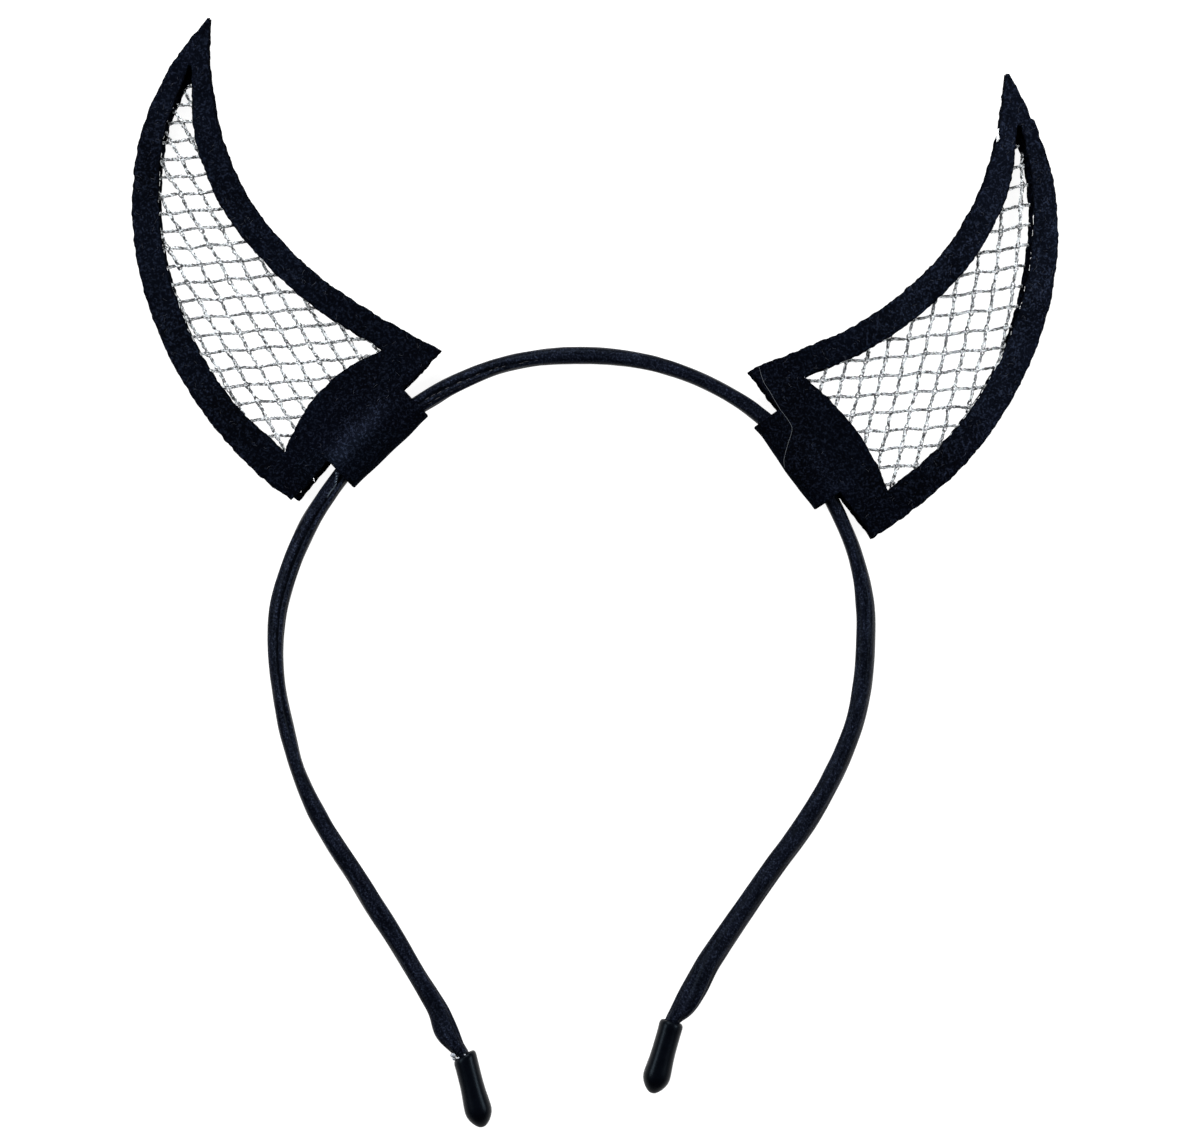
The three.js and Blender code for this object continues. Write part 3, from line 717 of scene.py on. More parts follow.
@dataclass
class SatinBand:
    """The satin sleeve with its lapped seam, its creases and the seam's stitches."""

    sides: int = 60
    step: float = 0.45
    inside_every: int = 3
    smoothing: int = 9
    wall: float = 0.4
    roundness: float = 2.7
    ridge: float = 0.18
    groove: float = 0.40
    flare: float = 0.2
    crease: float = 0.05
    gather: float = 0.10
    lap: float = 0.9
    pinch_height: float = 0.16
    pinch_width: float = 0.26
    # y where the crown begins, x where the seam sinks into the cloth, and y where it comes up on the left leg
    crown_begins: tuple[float, float] = (18.0, 24.0)
    seam_sinks: tuple[float, float] = (-16.0, -7.0)
    seam_rises: tuple[float, float] = (-45.0, -20.0)
    # the seam's place round the sleeve in degrees, on the leg and on the crown, and its drift there from x on
    seam_on_leg: float = 101.0
    seam_on_crown: float = 87.0
    seam_drift: float = 16.0
    drift_from: float = -33.0
    drift_over: float = 22.0
    # ridges beside the seam, and a ridge and a furrow by the left tab: degrees past the seam, and width
    ridge_spots: tuple[tuple[float, float], ...] = ((-17.0, 9.0), (16.0, 8.0))
    groove_width: float = 6.0
    # what the finish is told of them: the groove's width for its painted shade, and the places and share of
    # the painted highlight on the ridges
    groove_mark: float = 5.5
    highlight_spots: tuple[tuple[float, float], ...] = ((-16.0, 7.0), (15.0, 7.0))
    highlight_share: float = 0.45
    wrap_radius: float = 2.1
    tab_ridge: tuple[float, float] = (42.0, 8.0)
    tab_ridge_height: float = 0.14
    tab_furrow: tuple[float, float] = (30.0, 5.0)
    tab_furrow_depth: float = 0.22
    tab_folds_end: tuple[float, float] = (-27.0, -20.0)
    flare_spot: tuple[float, float] = (178.0, 32.0)
    flare_ends: tuple[float, float] = (-32.5, -28.0)
    # the gathers above the tips: how many, their turn, and y where they fade upward and downward
    gathers: int = 9
    gather_turn: float = 1.3
    gathers_end: tuple[float, float] = (-88.0, -72.0)
    gathers_begin: tuple[float, float] = (-99.0, -92.0)
    slack: float = 0.06
    # the course of a pinch in the cloth below the left tab, x and y in millimetres
    pinch: tuple[tuple[float, float], ...] = (
        (-51.7, 20.2), (-51.6, 18.6), (-52.0, 17.2), (-52.9, 16.2), (-53.4, 15.2))

    def __post_init__(self) -> None:
        """Works out the middle line and its frame at even steps."""
        height = TIP_AXIS + (MID_PLANE - TIP_AXIS) * np.clip(
            (BAND_ROWS[:, 1] - TIPS_END_Y) / (TABS_BEGIN_Y - TIPS_END_Y), 0, 1)
        steps = 40
        line = through(np.column_stack([BAND_ROWS[:, :2], height]), steps)
        share = np.arange(len(line)) / steps
        rows = np.arange(len(BAND_ROWS))
        section = np.stack([np.interp(share, rows, c) for c in BAND_ROWS[:, 2:].T], axis=1)
        low, high = steps, len(line) - steps
        line, section = line[low:high], section[low:high]
        length = arc_lengths(line)
        count = int(length[-1] / self.step)
        self.spots = np.linspace(0, length[-1], count)
        self.line = np.stack([np.interp(self.spots, length, c) for c in line.T], axis=1)
        section = np.stack([np.interp(self.spots, length, c) for c in section.T], axis=1)
        soft = np.ones(self.smoothing) / self.smoothing
        pad = np.pad(section, ((self.smoothing // 2,) * 2, (0, 0)), mode="edge")
        self.section = np.stack([np.convolve(c, soft, mode="valid") for c in pad.T], axis=1)
        self.along = np.gradient(self.line, axis=0)
        self.along /= np.linalg.norm(self.along, axis=1)[:, None]
        level = np.stack([-self.along[:, 1], self.along[:, 0], 0 * self.spots], axis=1)
        level /= np.linalg.norm(level, axis=1)[:, None]
        up = np.cross(self.along, level)
        tilt = np.radians(self.section[:, 2])[:, None]
        self.level = level * np.cos(tilt) + up * np.sin(tilt)
        self.up = up * np.cos(tilt) - level * np.sin(tilt)

    def seam(self, spot: Array) -> tuple[Array, Array, Array]:
        """Follows the lapped seam along the band.

        Args:
            spot: The number of the step along the band.

        Returns:
            The seam's place round the sleeve in degrees, how much it shows, and whether this is the crown.
        """
        x, y = self.line[spot, 0], self.line[spot, 1]
        crown = smooth(y, *self.crown_begins)
        drift = self.seam_drift * np.clip((x - self.drift_from) / self.drift_over, 0, 1)
        place = self.seam_on_leg * (1 - crown) + (self.seam_on_crown + drift) * crown
        shown = (1 - smooth(x, *self.seam_sinks)) * smooth(y, *self.seam_rises)
        return place, shown, crown

    def radius(self, angle: Array, spot: Array) -> Array:
        """Gives the reach of the sleeve's outside from its middle line.

        Args:
            angle: Round the sleeve from its outer side by way of the top, in radians.
            spot: The number of the step along the band.

        Returns:
            The reach in millimetres, for each angle and spot.
        """
        x, y = self.line[spot, 0], self.line[spot, 1]
        half, deep = self.section[spot, 0] / 2, self.section[spot, 1] / 2
        power = self.roundness
        reach = np.abs(np.cos(angle) / half) ** power + np.abs(np.sin(angle) / deep) ** power
        reach = reach ** (-1 / power)
        place, shown, crown = self.seam(spot)
        degrees = np.degrees(angle) % 360
        past = degrees - place
        ridges = sum(bump(past, *hill) for hill in self.ridge_spots)
        reach = reach + shown * (self.ridge * ridges - self.groove * bump(past, 0.0, self.groove_width))
        by_tab = crown * (1 - smooth(x, *self.tab_folds_end))
        reach = reach + by_tab * (self.tab_ridge_height * bump(past, *self.tab_ridge)
                                  - self.tab_furrow_depth * bump(past, *self.tab_furrow))
        flared = self.flare * crown * (1 - smooth(x, *self.flare_ends))
        reach = reach + flared * bump(degrees, *self.flare_spot)
        ends = (1 - smooth(y, *self.gathers_end)) * smooth(y, *self.gathers_begin)
        reach = reach + self.gather * ends * np.cos(self.gathers * angle + self.gather_turn)
        reach = reach + self.pinch_height * self._pinched(angle, spot, reach)
        place = np.stack([spot * self.step, angle * 6.0, 0 * angle], axis=1)
        reach = reach + self.crease * unevenness(place * [0.45, 1.0, 1.0], 1.6, 3)
        loose = self.slack * unevenness(place * [0.25, 1.0, 1.0], 2.2, 4)
        return reach + loose * (1 - smooth(x, *self.seam_sinks))

    def _pinched(self, angle: Array, spot: Array, reach: Array) -> Array:
        """Tells how near each place on the upper side is to the pinch."""
        course = evenly(through(np.array(self.pinch), 8), 40)
        flat = self.line[spot, :2] + self.level[spot, :2] * (reach * np.cos(angle))[:, None]
        near = np.flatnonzero((np.sin(angle) > 0.3) & (np.abs(flat - course[20]).max(axis=1) < 5.0))
        mark = np.zeros(len(angle))
        away = np.linalg.norm(flat[near, None] - course[None], axis=2).min(axis=1)
        mark[near] = bump(away, 0.0, self.pinch_width)
        return mark

    def surface(self, angle: Array, spot: Array, proud: float) -> Array:
        """Gives points that stand proud of the sleeve's outside by so much."""
        reach = self.radius(angle, spot) + proud
        return (self.line[spot] + self.level[spot] * (reach * np.cos(angle))[:, None]
                + self.up[spot] * (reach * np.sin(angle))[:, None])

    def build(self, finishes: Finishes) -> Object:
        """Makes the sleeve and its stitches, and dresses the strip inside."""
        sleeve = self._sleeve(finishes.satin)
        self._stitches(finishes.stitch)
        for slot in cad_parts["band_core"].material_slots:
            slot.material = finishes.steel
        return sleeve

    def _sleeve(self, material: Material) -> Object:
        """Makes the sleeve, a cloth wall with an outside and a plainer inside."""
        draft = MeshDraft()
        turn = np.linspace(-np.pi / 2, 1.5 * np.pi, self.sides + 1)[:-1]
        walls, marks = [], {"groove": [], "paler_and_sheen": []}
        for proud, every in ((0.0, 1), (-self.wall, self.inside_every)):
            steps = np.unique(np.append(np.arange(0, len(self.spots), every), len(self.spots) - 1))
            spot, angle = np.repeat(steps, self.sides), np.tile(turn, len(steps))
            walls.append(draft.add(self.surface(angle, spot, proud)).reshape(-1, self.sides))
            draft.wraps.append(np.stack([spot * self.step * MM, angle * self.wrap_radius * MM], axis=1))
            place, shown, _ = self.seam(spot)
            past = np.degrees(angle) % 360 - place
            # where the painted shade of the seam's groove goes
            marks["groove"].append(shown * bump(past, 0.0, self.groove_mark))
            # painted highlight on the ridges beside the seam, and on the pinch
            ridges = self.highlight_share * shown * sum(bump(past, *hill) for hill in self.highlight_spots)
            marks["paler_and_sheen"].append(np.maximum(ridges, self._pinched(angle, spot, self.radius(angle, spot))))
        out, inn = walls
        draft.skin(out, around=True, along=False)
        draft.skin(inn[:, ::-1], around=True, along=False)
        for end in (0, -1):
            draft.skin(np.vstack([out[end], inn[end]]), around=True, along=False)
        sleeve = draft.finish("satin_sleeve", material, "satin", "band_cover")
        for name, values in marks.items():
            layer = sleeve.data.attributes.new(name, "FLOAT", "POINT")
            layer.data.foreach_set("value", np.concatenate(values).astype(np.float32))
        rings = draft.points[0].reshape(-1, self.sides, 3)
        girth = np.linalg.norm(np.diff(rings, axis=1), axis=2).sum(axis=1).mean()
        return sleeve

    def _stitches(self, material: Material) -> None:
        """Sews short uneven stitches along the seam near the left tab, sinking in further on."""
        draft = MeshDraft()
        rng = np.random.default_rng(11)
        crown = np.flatnonzero(self.line[:, 1] > 20.0)
        for first, last, past in ((-33.6, -11.0, 3.0), (-33.5, -27.0, 27.0)):
            begin, end = np.interp((first, last), self.line[crown, 0], crown)
            spot = begin
            while spot < end:
                fade = (spot - begin) / (end - begin)
                steps = int(spot) + np.arange(3)
                angle = np.radians(self.seam(steps)[0] + past + rng.uniform(-2.5, 2.5))
                path = evenly(self.surface(angle, steps, 0.03 - 0.06 * fade), 6)
                middle = path.mean(axis=0)
                path = middle + (path - middle) * rng.uniform(0.7, 1.25)
                path = path + self.up[steps[1]] * (0.05 * np.sin(np.linspace(0, np.pi, 6)))[:, None]
                draft.rod(path, rng.uniform(0.05, 0.1) * (1 - 0.4 * fade), 6, flat=0.8)
                spot += rng.uniform(1.1, 2.9) / self.step
        draft.finish("seam_stitches", material, "satin")


@dataclass
class RubberTip:
    """A hollow rubber cap on one end of the band, with a rolled mouth and a blunt end."""

    side: Side
    mouth: tuple[float, float]
    end: tuple[float, float]
    # how far the mouth leans along the cap, for each millimetre across it
    slant: float
    sides: int = 44
    power: float = 2.4
    # the mould's parting line and small dents, as shares of the cap's size
    mould_line: float = 0.012
    dents: float = 0.012
    # along the cap from its mouth, width and height, in millimetres
    rings: tuple[tuple[float, float, float], ...] = (
        (9.5, 0.6, 0.9), (9.5, 3.0, 4.8), (5.0, 3.1, 4.9), (1.0, 3.25, 5.05), (0.15, 3.35, 5.2),
        (-0.05, 3.65, 5.45), (0.0, 4.0, 5.75), (0.18, 4.4, 6.1), (0.5, 4.72, 6.4), (0.95, 4.84, 6.5),
        (1.5, 4.8, 6.46), (2.2, 4.72, 6.44), (4.0, 4.7, 6.44), (6.0, 4.74, 6.44), (7.8, 4.9, 6.48),
        (9.3, 5.16, 6.56), (10.5, 5.36, 6.66), (11.4, 5.4, 6.66), (12.2, 5.12, 6.36), (13.0, 4.45, 5.7),
        (13.75, 3.5, 4.6), (14.35, 2.4, 3.3), (14.72, 1.4, 2.0), (14.85, 0.6, 0.9))

    def build(self, finishes: Finishes) -> Object:
        """Makes the cap."""
        draft = MeshDraft()
        mouth = np.array([*self.mouth, TIP_AXIS])
        way = np.array([*self.end, TIP_AXIS]) - mouth
        way /= np.linalg.norm(way)
        across = np.array([-way[1], way[0], 0.0])
        up = np.array([0.0, 0.0, 1.0])
        angle = np.arange(self.sides) * 2 * np.pi / self.sides
        full = np.abs(np.cos(angle)) ** self.power + np.abs(np.sin(angle)) ** self.power
        full = full ** (-1 / self.power)
        rows = []
        for along, width, height in self.rings:
            mould = 1.0 + self.mould_line * bump(np.abs(np.sin(angle)), 0.0, 0.08) * (along > 1.5)
            flat = (across * (np.cos(angle) * full * mould * width / 2)[:, None]
                    + up * (np.sin(angle) * full * height / 2)[:, None])
            lean = self.slant * (1 - smooth(along, 0.0, 4.5)) * (flat @ across)
            points = mouth + way * along + flat + way * lean[:, None]
            if along > 1.2:
                uneven = unevenness(points, 2.4, 7 + len(self.side.value))
                points = points + flat * self.dents * uneven[:, None]
            rows.append(draft.add(points))
        draft.skin(np.array(rows), around=True, along=False)
        for row, along in ((rows[0], self.rings[0][0]), (rows[-1], self.rings[-1][0] + 0.02)):
            pole = draft.add(mouth + way * along)[0]
            draft.faces.extend((int(a), int(b), int(pole)) for a, b in zip(row, np.roll(row, -1)))
        name = self.side.value
        return draft.finish(f"rubber_tip_{name}", finishes.rubber, "rubber", f"tip_{name}")


# The horns


# The rounding of a cut edge from the top to the bottom, in degrees
CUT_TURNS = (55.0, 20.0, -20.0, -55.0)


@dataclass(frozen=True)
class HornRow:
    """A row across a horn, by its outer and inner edge, with the felt's width on each side of the window."""

    outer: tuple[float, float]
    inner: tuple[float, float]
    rims: tuple[float, float] | None = None


@dataclass(frozen=True)
class Tab:
    """The felt that is folded round the band, by its turn, its middle, half its width and its reach."""

    lean: float
    centre: float
    half: float
    fold: float


@dataclass(frozen=True)
class NetLay:
    """Where the strands of a net run: a crossing, and the pitch, slope and fan of its rows and columns."""

    x: float
    y: float
    row_pitch: float
    row_slope: float
    row_fan: float
    column_pitch: float
    column_lean: float
    column_bend: float

    def row_line(self, number: int, x: Array) -> Array:
        """Gives the height of a row at each x."""
        slope = self.row_slope + self.row_fan * max(number, 0)
        return self.y + number * self.row_pitch + slope * (x - self.x)

    def column_line(self, number: int, y: Array) -> Array:
        """Gives the place of a column at each height."""
        rise = y - self.y
        bend = self.column_bend * np.maximum(rise, 0) ** 2
        return self.x + number * self.column_pitch + self.column_lean * rise + bend

    def rows_at(self, points: Array) -> Array:
        """Counts rows up to each point."""
        run = points[:, 0] - self.x
        rise = points[:, 1] - self.y - self.row_slope * run
        return np.where(rise > 0, rise / (self.row_pitch + self.row_fan * run), rise / self.row_pitch)

    def columns_at(self, points: Array) -> Array:
        """Counts columns up to each point."""
        return (points[:, 0] - self.column_line(0, points[:, 1])) / self.column_pitch


@dataclass
class Horn:
    """A felt horn: one cut with a front, a tab round the band and a back, and net between the layers."""

    side: Side
    x: float
    y: float
    turn: float
    mirrored: bool
    tab: Tab
    window_rise: float
    rows: tuple[HornRow, ...]
    net: NetLay
    # share of the way up the window, and how much of the back layer shows there, in millimetres
    back_shows: tuple[tuple[float, float], ...]
    seed: int
    hump: float
    # strength of the painted sheen on the tab over the band, and how much paler the front grows further up
    # the horn
    paler_and_sheen: float
    paler_upward: float
    fold_wave: float
    # how far the back layer lies from the front one at the inner and the outer base corner
    back_base: tuple[tuple[float, float], tuple[float, float]]
    front_lift: float
    jog: float
    # shares of the way up the window between which cut yarn shows, and its spacing in millimetres
    glints: tuple[float, float, float]
    felt: float = 1.0
    front_under: float = 4.4
    back_under: float = 2.2
    tab_lift: float = 2.2
    # how far up the horn the front and the back layer begin to part and end, and where that fades sideways
    lift_from: tuple[float, float] = (-2.5, 2.7)
    lift_to: float = 11.0
    lift_sides: tuple[float, float] = (13.4, 20.6)
    # the hump over the band: its place and width up the horn, and where it fades sideways
    hump_spot: tuple[float, float] = (-1.6, 2.4)
    hump_sides: tuple[float, float] = (8.0, 14.0)
    base_half: float = 21.0
    lint_over: int = 130
    lint_under: int = 90
    back_drop: float = 0.6
    fold_radius: float = 2.2
    cut_round: float = 0.3
    counts: tuple[int, int, int, int] = (320, 290, 30, 54)
    columns: tuple[float, ...] = (0.0, 0.05, 0.16, 0.33, 0.5, 0.67, 0.84, 0.95, 1.0)
    tuck: float = 1.6

    def place(self, flat: Array) -> Array:
        """Turns places on the horn into the measured frame."""
        turn = math.radians(self.turn)
        right = flat[:, 0] * math.cos(turn) + flat[:, 1] * math.sin(turn)
        up = flat[:, 1] * math.cos(turn) - flat[:, 0] * math.sin(turn)
        return np.stack([self.x + (-right if self.mirrored else right), self.y + up], axis=1)

    def unplace(self, spots: Array) -> Array:
        """Turns places in the measured frame into places on the horn."""
        turn = math.radians(self.turn)
        right = (spots[:, 0] - self.x) * (-1 if self.mirrored else 1)
        up = spots[:, 1] - self.y
        return np.stack([right * math.cos(turn) - up * math.sin(turn),
                         right * math.sin(turn) + up * math.cos(turn)], axis=1)

    def level(self, flat: Array, layer: Layer) -> Array:
        """Gives the height of a layer's middle, which parts from the other round the band."""
        start = self.lift_from[0] if layer is Layer.FRONT else self.lift_from[1]
        beside = 1 - smooth(np.abs(flat[:, 0]), *self.lift_sides)
        lift = (1 - smooth(flat[:, 1], start, self.lift_to)) * beside * self.tab_lift
        soft = 0.10 * unevenness(flat, 7.0, self.seed) + 0.04 * unevenness(flat, 1.8, self.seed + 1)
        if layer is Layer.FRONT:
            over = bump(flat[:, 1], *self.hump_spot) * (1 - smooth(np.abs(flat[:, 0]), *self.hump_sides))
            return self.front_under + self.felt / 2 + lift + soft + self.hump * over
        return self.back_under + self.felt / 2 - lift + soft * smooth(flat[:, 1], 3.0, 9.0)

    def window(self, layer: Layer) -> tuple[Array, Array]:
        """Gives the window's outer and inner edge, from the bottom up."""
        held = [row for row in self.rows if row.rims]
        edges = []
        for near, far, number in (("outer", "inner", 0), ("inner", "outer", 1)):
            begin = np.array([getattr(row, near) for row in held])
            way = np.array([getattr(row, far) for row in held]) - begin
            rim = np.array([row.rims[number] for row in held])
            edges.append(through(begin + way * (rim / np.linalg.norm(way, axis=1))[:, None], 40))
        outer, inner = edges
        if layer is Layer.BACK:
            share = np.linspace(0, 1, len(outer))
            show = np.interp(share, *np.array(self.back_shows).T)
            way = inner - outer
            width = np.linalg.norm(way, axis=1)
            outer = outer + way * (show / width)[:, None]
            keep = int(np.argmax(show > width - 0.25)) or len(outer)
            outer, inner = outer[:keep], inner[:keep]
        return outer, inner

    def loops(self, layer: Layer) -> tuple[Array, Array]:
        """Gives the felt's outline and its window as matched loops of places on the horn.

        Args:
            layer: Which layer.

        Returns:
            The outline and the window.
        """
        outer_count, inner_count, base_count, tab_count = self.counts
        outer = through([row.outer for row in self.rows], 40)
        inner = through([row.inner for row in self.rows], 40)
        hold_out, hold_in = self.window(layer)
        lean = math.radians(self.tab.lean)
        across = np.array([math.cos(lean), math.sin(lean)])
        roots = [across * (self.tab.centre + way * self.tab.half) for way in (-1, 1)]
        base = np.vstack([evenly(np.vstack([inner[0], roots[0]]), base_count)[1:-1],
                          evenly(np.vstack(roots), tab_count),
                          evenly(np.vstack([roots[1], outer[0]]), base_count)[1:-1]])
        outline = np.vstack([evenly(outer, outer_count), evenly(inner[::-1], inner_count), base])
        middle = (hold_in[0] + hold_out[0]) / 2 + np.array([0.0, 2 * self.window_rise])
        t = np.linspace(0, 1, 60)[:, None]
        sill = hold_in[0] * (1 - t) ** 2 + middle * 2 * t * (1 - t) + hold_out[0] * t ** 2
        window = np.vstack([evenly(hold_out, outer_count), evenly(hold_in[::-1], inner_count),
                            evenly(sill, len(base) + 2)[1:-1]])
        u, v = outline.T
        stepped = self.jog * smooth(-u, 27.3, 27.9) * (1 - smooth(-u, 28.5, 31.5)) * (v > 73.0)
        if layer is Layer.BACK:
            outline = outline + self._back_shift(outline)
            window = window - [0.0, self.back_drop]
        else:
            short = self.front_lift * smooth(u, 17.0, 21.5) * (1 - smooth(v, 0.0, 5.0))
            outline = outline + np.stack([0 * u, short], axis=1)
        outline[:, 1] -= stepped
        for loop, seed in ((outline, 2), (window, 3)):
            ragged = 0.13 * unevenness(loop, 1.4, self.seed + seed)
            ragged = ragged + 0.11 * unevenness(loop, 0.6, self.seed + seed + 9)
            from_point = np.linalg.norm(loop - np.array(self.rows[-1].outer), axis=1)
            loop += loop_normals(loop) * (ragged * smooth(from_point, 0.8, 4.0))[:, None]
        return outline, window

    def _back_shift(self, flat: Array) -> Array:
        """Gives how far the back layer lies from the front one, at its base corners and above them."""
        share = np.clip((flat[:, :1] + self.base_half) / (2 * self.base_half), 0.0, 1.0)
        base = np.array(self.back_base[0]) * (1 - share) + np.array(self.back_base[1]) * share
        base[:, 0] *= smooth(flat[:, 0], 12.0, 20.0)
        up = smooth(flat[:, 1:], 3.0, 12.0)
        drop = self.back_drop * (1 - 0.6 * smooth(flat[:, 1:], 66.0, 76.0))
        return base * (1 - up) + np.array([0.0, -1.0]) * drop * up

    def build(self, finishes: Finishes) -> None:
        """Makes the felt, its loose fibres and the net."""
        self._felt(finishes)
        HornNet(self).build(finishes)

    def _layer(self, draft: MeshDraft, layer: Layer) -> dict[str, Array]:
        """Adds one felt layer with rounded cut edges, open where the tab goes on.

        Args:
            draft: The mesh so far.
            layer: Which layer.

        Returns:
            The numbers of its top, bottom and outline-edge points.
        """
        outline, window = self.loops(layer)
        out_way, in_way = loop_normals(outline), -loop_normals(window)
        begin, end = outline - out_way * self.cut_round, window - in_way * self.cut_round
        grid = begin[:, None] + (end - begin)[:, None] * np.array(self.columns)[None, :, None]
        shape = grid.shape[:2]
        level = self.level(grid.reshape(-1, 2), layer)
        half = self.felt / 2
        spots = self.place(grid.reshape(-1, 2))
        fuzz = 0.02 * unevenness(spots, 0.8, self.seed + 5)
        lower = np.maximum(level - half - fuzz, 0.0)
        top = draft.add(np.column_stack([spots, level + half + fuzz])).reshape(shape)
        bottom = draft.add(np.column_stack([spots, lower])).reshape(shape)
        level = level.reshape(shape)
        edges = []
        for middle, way, mid in ((begin, out_way, level[:, 0]), (end, in_way, level[:, -1])):
            rows = []
            for angle in np.radians(CUT_TURNS):
                flat = self.place(middle + way * self.cut_round * math.cos(angle))
                rows.append(draft.add(np.column_stack([flat, np.maximum(mid + half * math.sin(angle), 0.0)])))
            edges.append(np.stack(rows, axis=1))
        edge, rim = edges
        draft.skin(np.hstack([top, rim, bottom[:, ::-1]]), around=False, along=True)
        closing = np.hstack([top[:, :1], edge, bottom[:, :1]])
        first, last = self._tab_range()
        draft.skin(np.vstack([closing[last:], closing[:first + 1]]), around=False, along=False)
        return {"top": top, "bottom": bottom, "edge": edge}

    def _tab_range(self) -> tuple[int, int]:
        """Gives the first and last number of the outline's points on the tab."""
        outer_count, inner_count, base_count, tab_count = self.counts
        first = outer_count + inner_count + base_count - 2
        return first, first + tab_count - 1

    def _tab_path(self) -> Array:
        """Gives the tab's middle line as rows of reach, height and outward direction."""
        turn = self.fold_radius + self.felt / 2 - self.tab.fold
        low = self.felt / 2
        reach = np.linspace(-0.5, turn, 9)
        top = self.level(np.stack([0 * reach, reach], axis=1), Layer.FRONT)
        bend = np.radians(np.linspace(90, 180, 7)[1:])
        high = self.front_under + self.tab_lift + self.felt / 2
        rows = [np.stack([reach, top, 0 * reach, 1 + 0 * reach], axis=1)]
        for centre, angles in ((high - self.fold_radius, bend), (low + self.fold_radius, bend + math.pi / 2)):
            out, up = np.cos(angles), np.sin(angles)
            rows.append(np.stack([turn + self.fold_radius * out, centre + self.fold_radius * up,
                                  out, up], axis=1))
        back = np.linspace(turn, -1.1, 7)[1:]
        rows.append(np.stack([back, low + 0 * back, 0 * back, -1 + 0 * back], axis=1))
        return np.vstack(rows)

    def _tab(self, draft: MeshDraft, front: dict[str, Array], back: dict[str, Array]) -> None:
        """Joins the front and the back layer round the band."""
        first, last = self._tab_range()
        picked = np.arange(first, last + 1)
        lean = math.radians(self.tab.lean)
        across = np.array([math.cos(lean), math.sin(lean)])
        along = np.array([-math.sin(lean), math.cos(lean)])
        spread = np.linspace(-1, 1, len(picked)) * (self.tab.half - self.cut_round) + self.tab.centre
        half = self.felt / 2
        rings = [np.concatenate([front["top"][picked, 0], front["edge"][last],
                                 front["bottom"][picked[::-1], 0], front["edge"][first, ::-1]])]
        bend = np.radians(CUT_TURNS)
        course = np.stack([spread, 0 * spread], axis=1)
        for reach, height, out_reach, out_height in self._tab_path():
            near_fold = float(1 - smooth(reach, -self.tab.fold + 0.5, -2.0))
            wave = self.fold_wave * unevenness(course, 4.2, self.seed + 6) * near_fold
            frill = 0.07 * unevenness(np.array([[reach, height]]), 0.9, self.seed + 8)[0]
            offs = [(spread, half, 0 * spread + wave),
                    (spread[-1] + frill + self.cut_round * np.cos(bend), half * np.sin(bend), wave[-1]),
                    (spread[::-1], -half, wave[::-1]),
                    (spread[0] + frill - self.cut_round * np.cos(bend), -half * np.sin(bend), wave[0])]
            ring = []
            for side, lift, shift in offs:
                lift = np.broadcast_to(lift, side.shape)
                flat = across * side[:, None] + along * (reach + out_reach * lift + shift)[:, None]
                ring.append(np.column_stack([self.place(flat), np.maximum(height + out_height * lift, 0.0)]))
            rings.append(draft.add(np.vstack(ring)))
        rings.append(np.concatenate([back["bottom"][picked, 0], back["edge"][last, ::-1],
                                     back["top"][picked[::-1], 0], back["edge"][first]]))
        draft.skin(np.array(rings), around=True, along=False)

    def _felt(self, finishes: Finishes) -> None:
        """Makes the felt cut as one closed piece, and scatters loose fibres over it."""
        draft = MeshDraft()
        front, back = self._layer(draft, Layer.FRONT), self._layer(draft, Layer.BACK)
        self._tab(draft, front, back)
        name = self.side.value
        felt = draft.finish(f"felt_horn_{name}", finishes.felt, "felt", f"horn_{name}")
        self._mark_sheen_and_cuts(felt)
        work = bmesh.new()
        work.from_mesh(felt.data)
        cut = work.calc_volume() / (self.felt * MM)
        work.free()
        outline = self.loops(Layer.FRONT)[0]
        self._lint(np.vstack(draft.points), (front["top"], back["bottom"]), finishes.lint)

    def _mark_sheen_and_cuts(self, felt: Object) -> None:
        """Marks the painted sheen on the felt over the band, the paler tone further up the front layer, and
        where the felt is cut, for the painted shade on its cut edges.
        """
        spots = np.empty(len(felt.data.vertices) * 3, np.float32)
        felt.data.vertices.foreach_get("co", spots)
        spots = spots.reshape(-1, 3) / MM - SHIFT
        flat = self.unplace(spots[:, :2])
        upper = spots[:, 2] > MID_PLANE
        # painted sheen on the felt's top where it bulges over the band
        over = bump(flat[:, 1], 0.1, 1.8) * smooth(flat[:, 0], -9.0, 3.0)
        over = over * (1 - smooth(flat[:, 0], 8.5, 11.0)) * upper
        cloudy = 0.75 + 0.35 * unevenness(flat, 2.4, self.seed + 12)
        # paler further up the horn, on the front layer only
        paled = self.paler_upward * smooth(flat[:, 1], 8.0, 40.0) * upper
        level = np.where(upper, self.level(flat, Layer.FRONT), self.level(flat, Layer.BACK))
        # where the felt is cut, for the painted shade on its edges
        cut = 1 - smooth(np.abs(spots[:, 2] - level), 0.30 * self.felt, 0.48 * self.felt)
        cut[(flat[:, 1] < -1.0) & (np.abs(flat[:, 0] - self.tab.centre) < self.tab.half - 0.5)] = 0.0
        for name, values in (("paler_and_sheen", (over * self.paler_and_sheen + paled) * cloudy), ("cut", cut)):
            mark = felt.data.attributes.new(name, "FLOAT", "POINT")
            mark.data.foreach_set("value", np.clip(values, 0, 1).astype(np.float32))

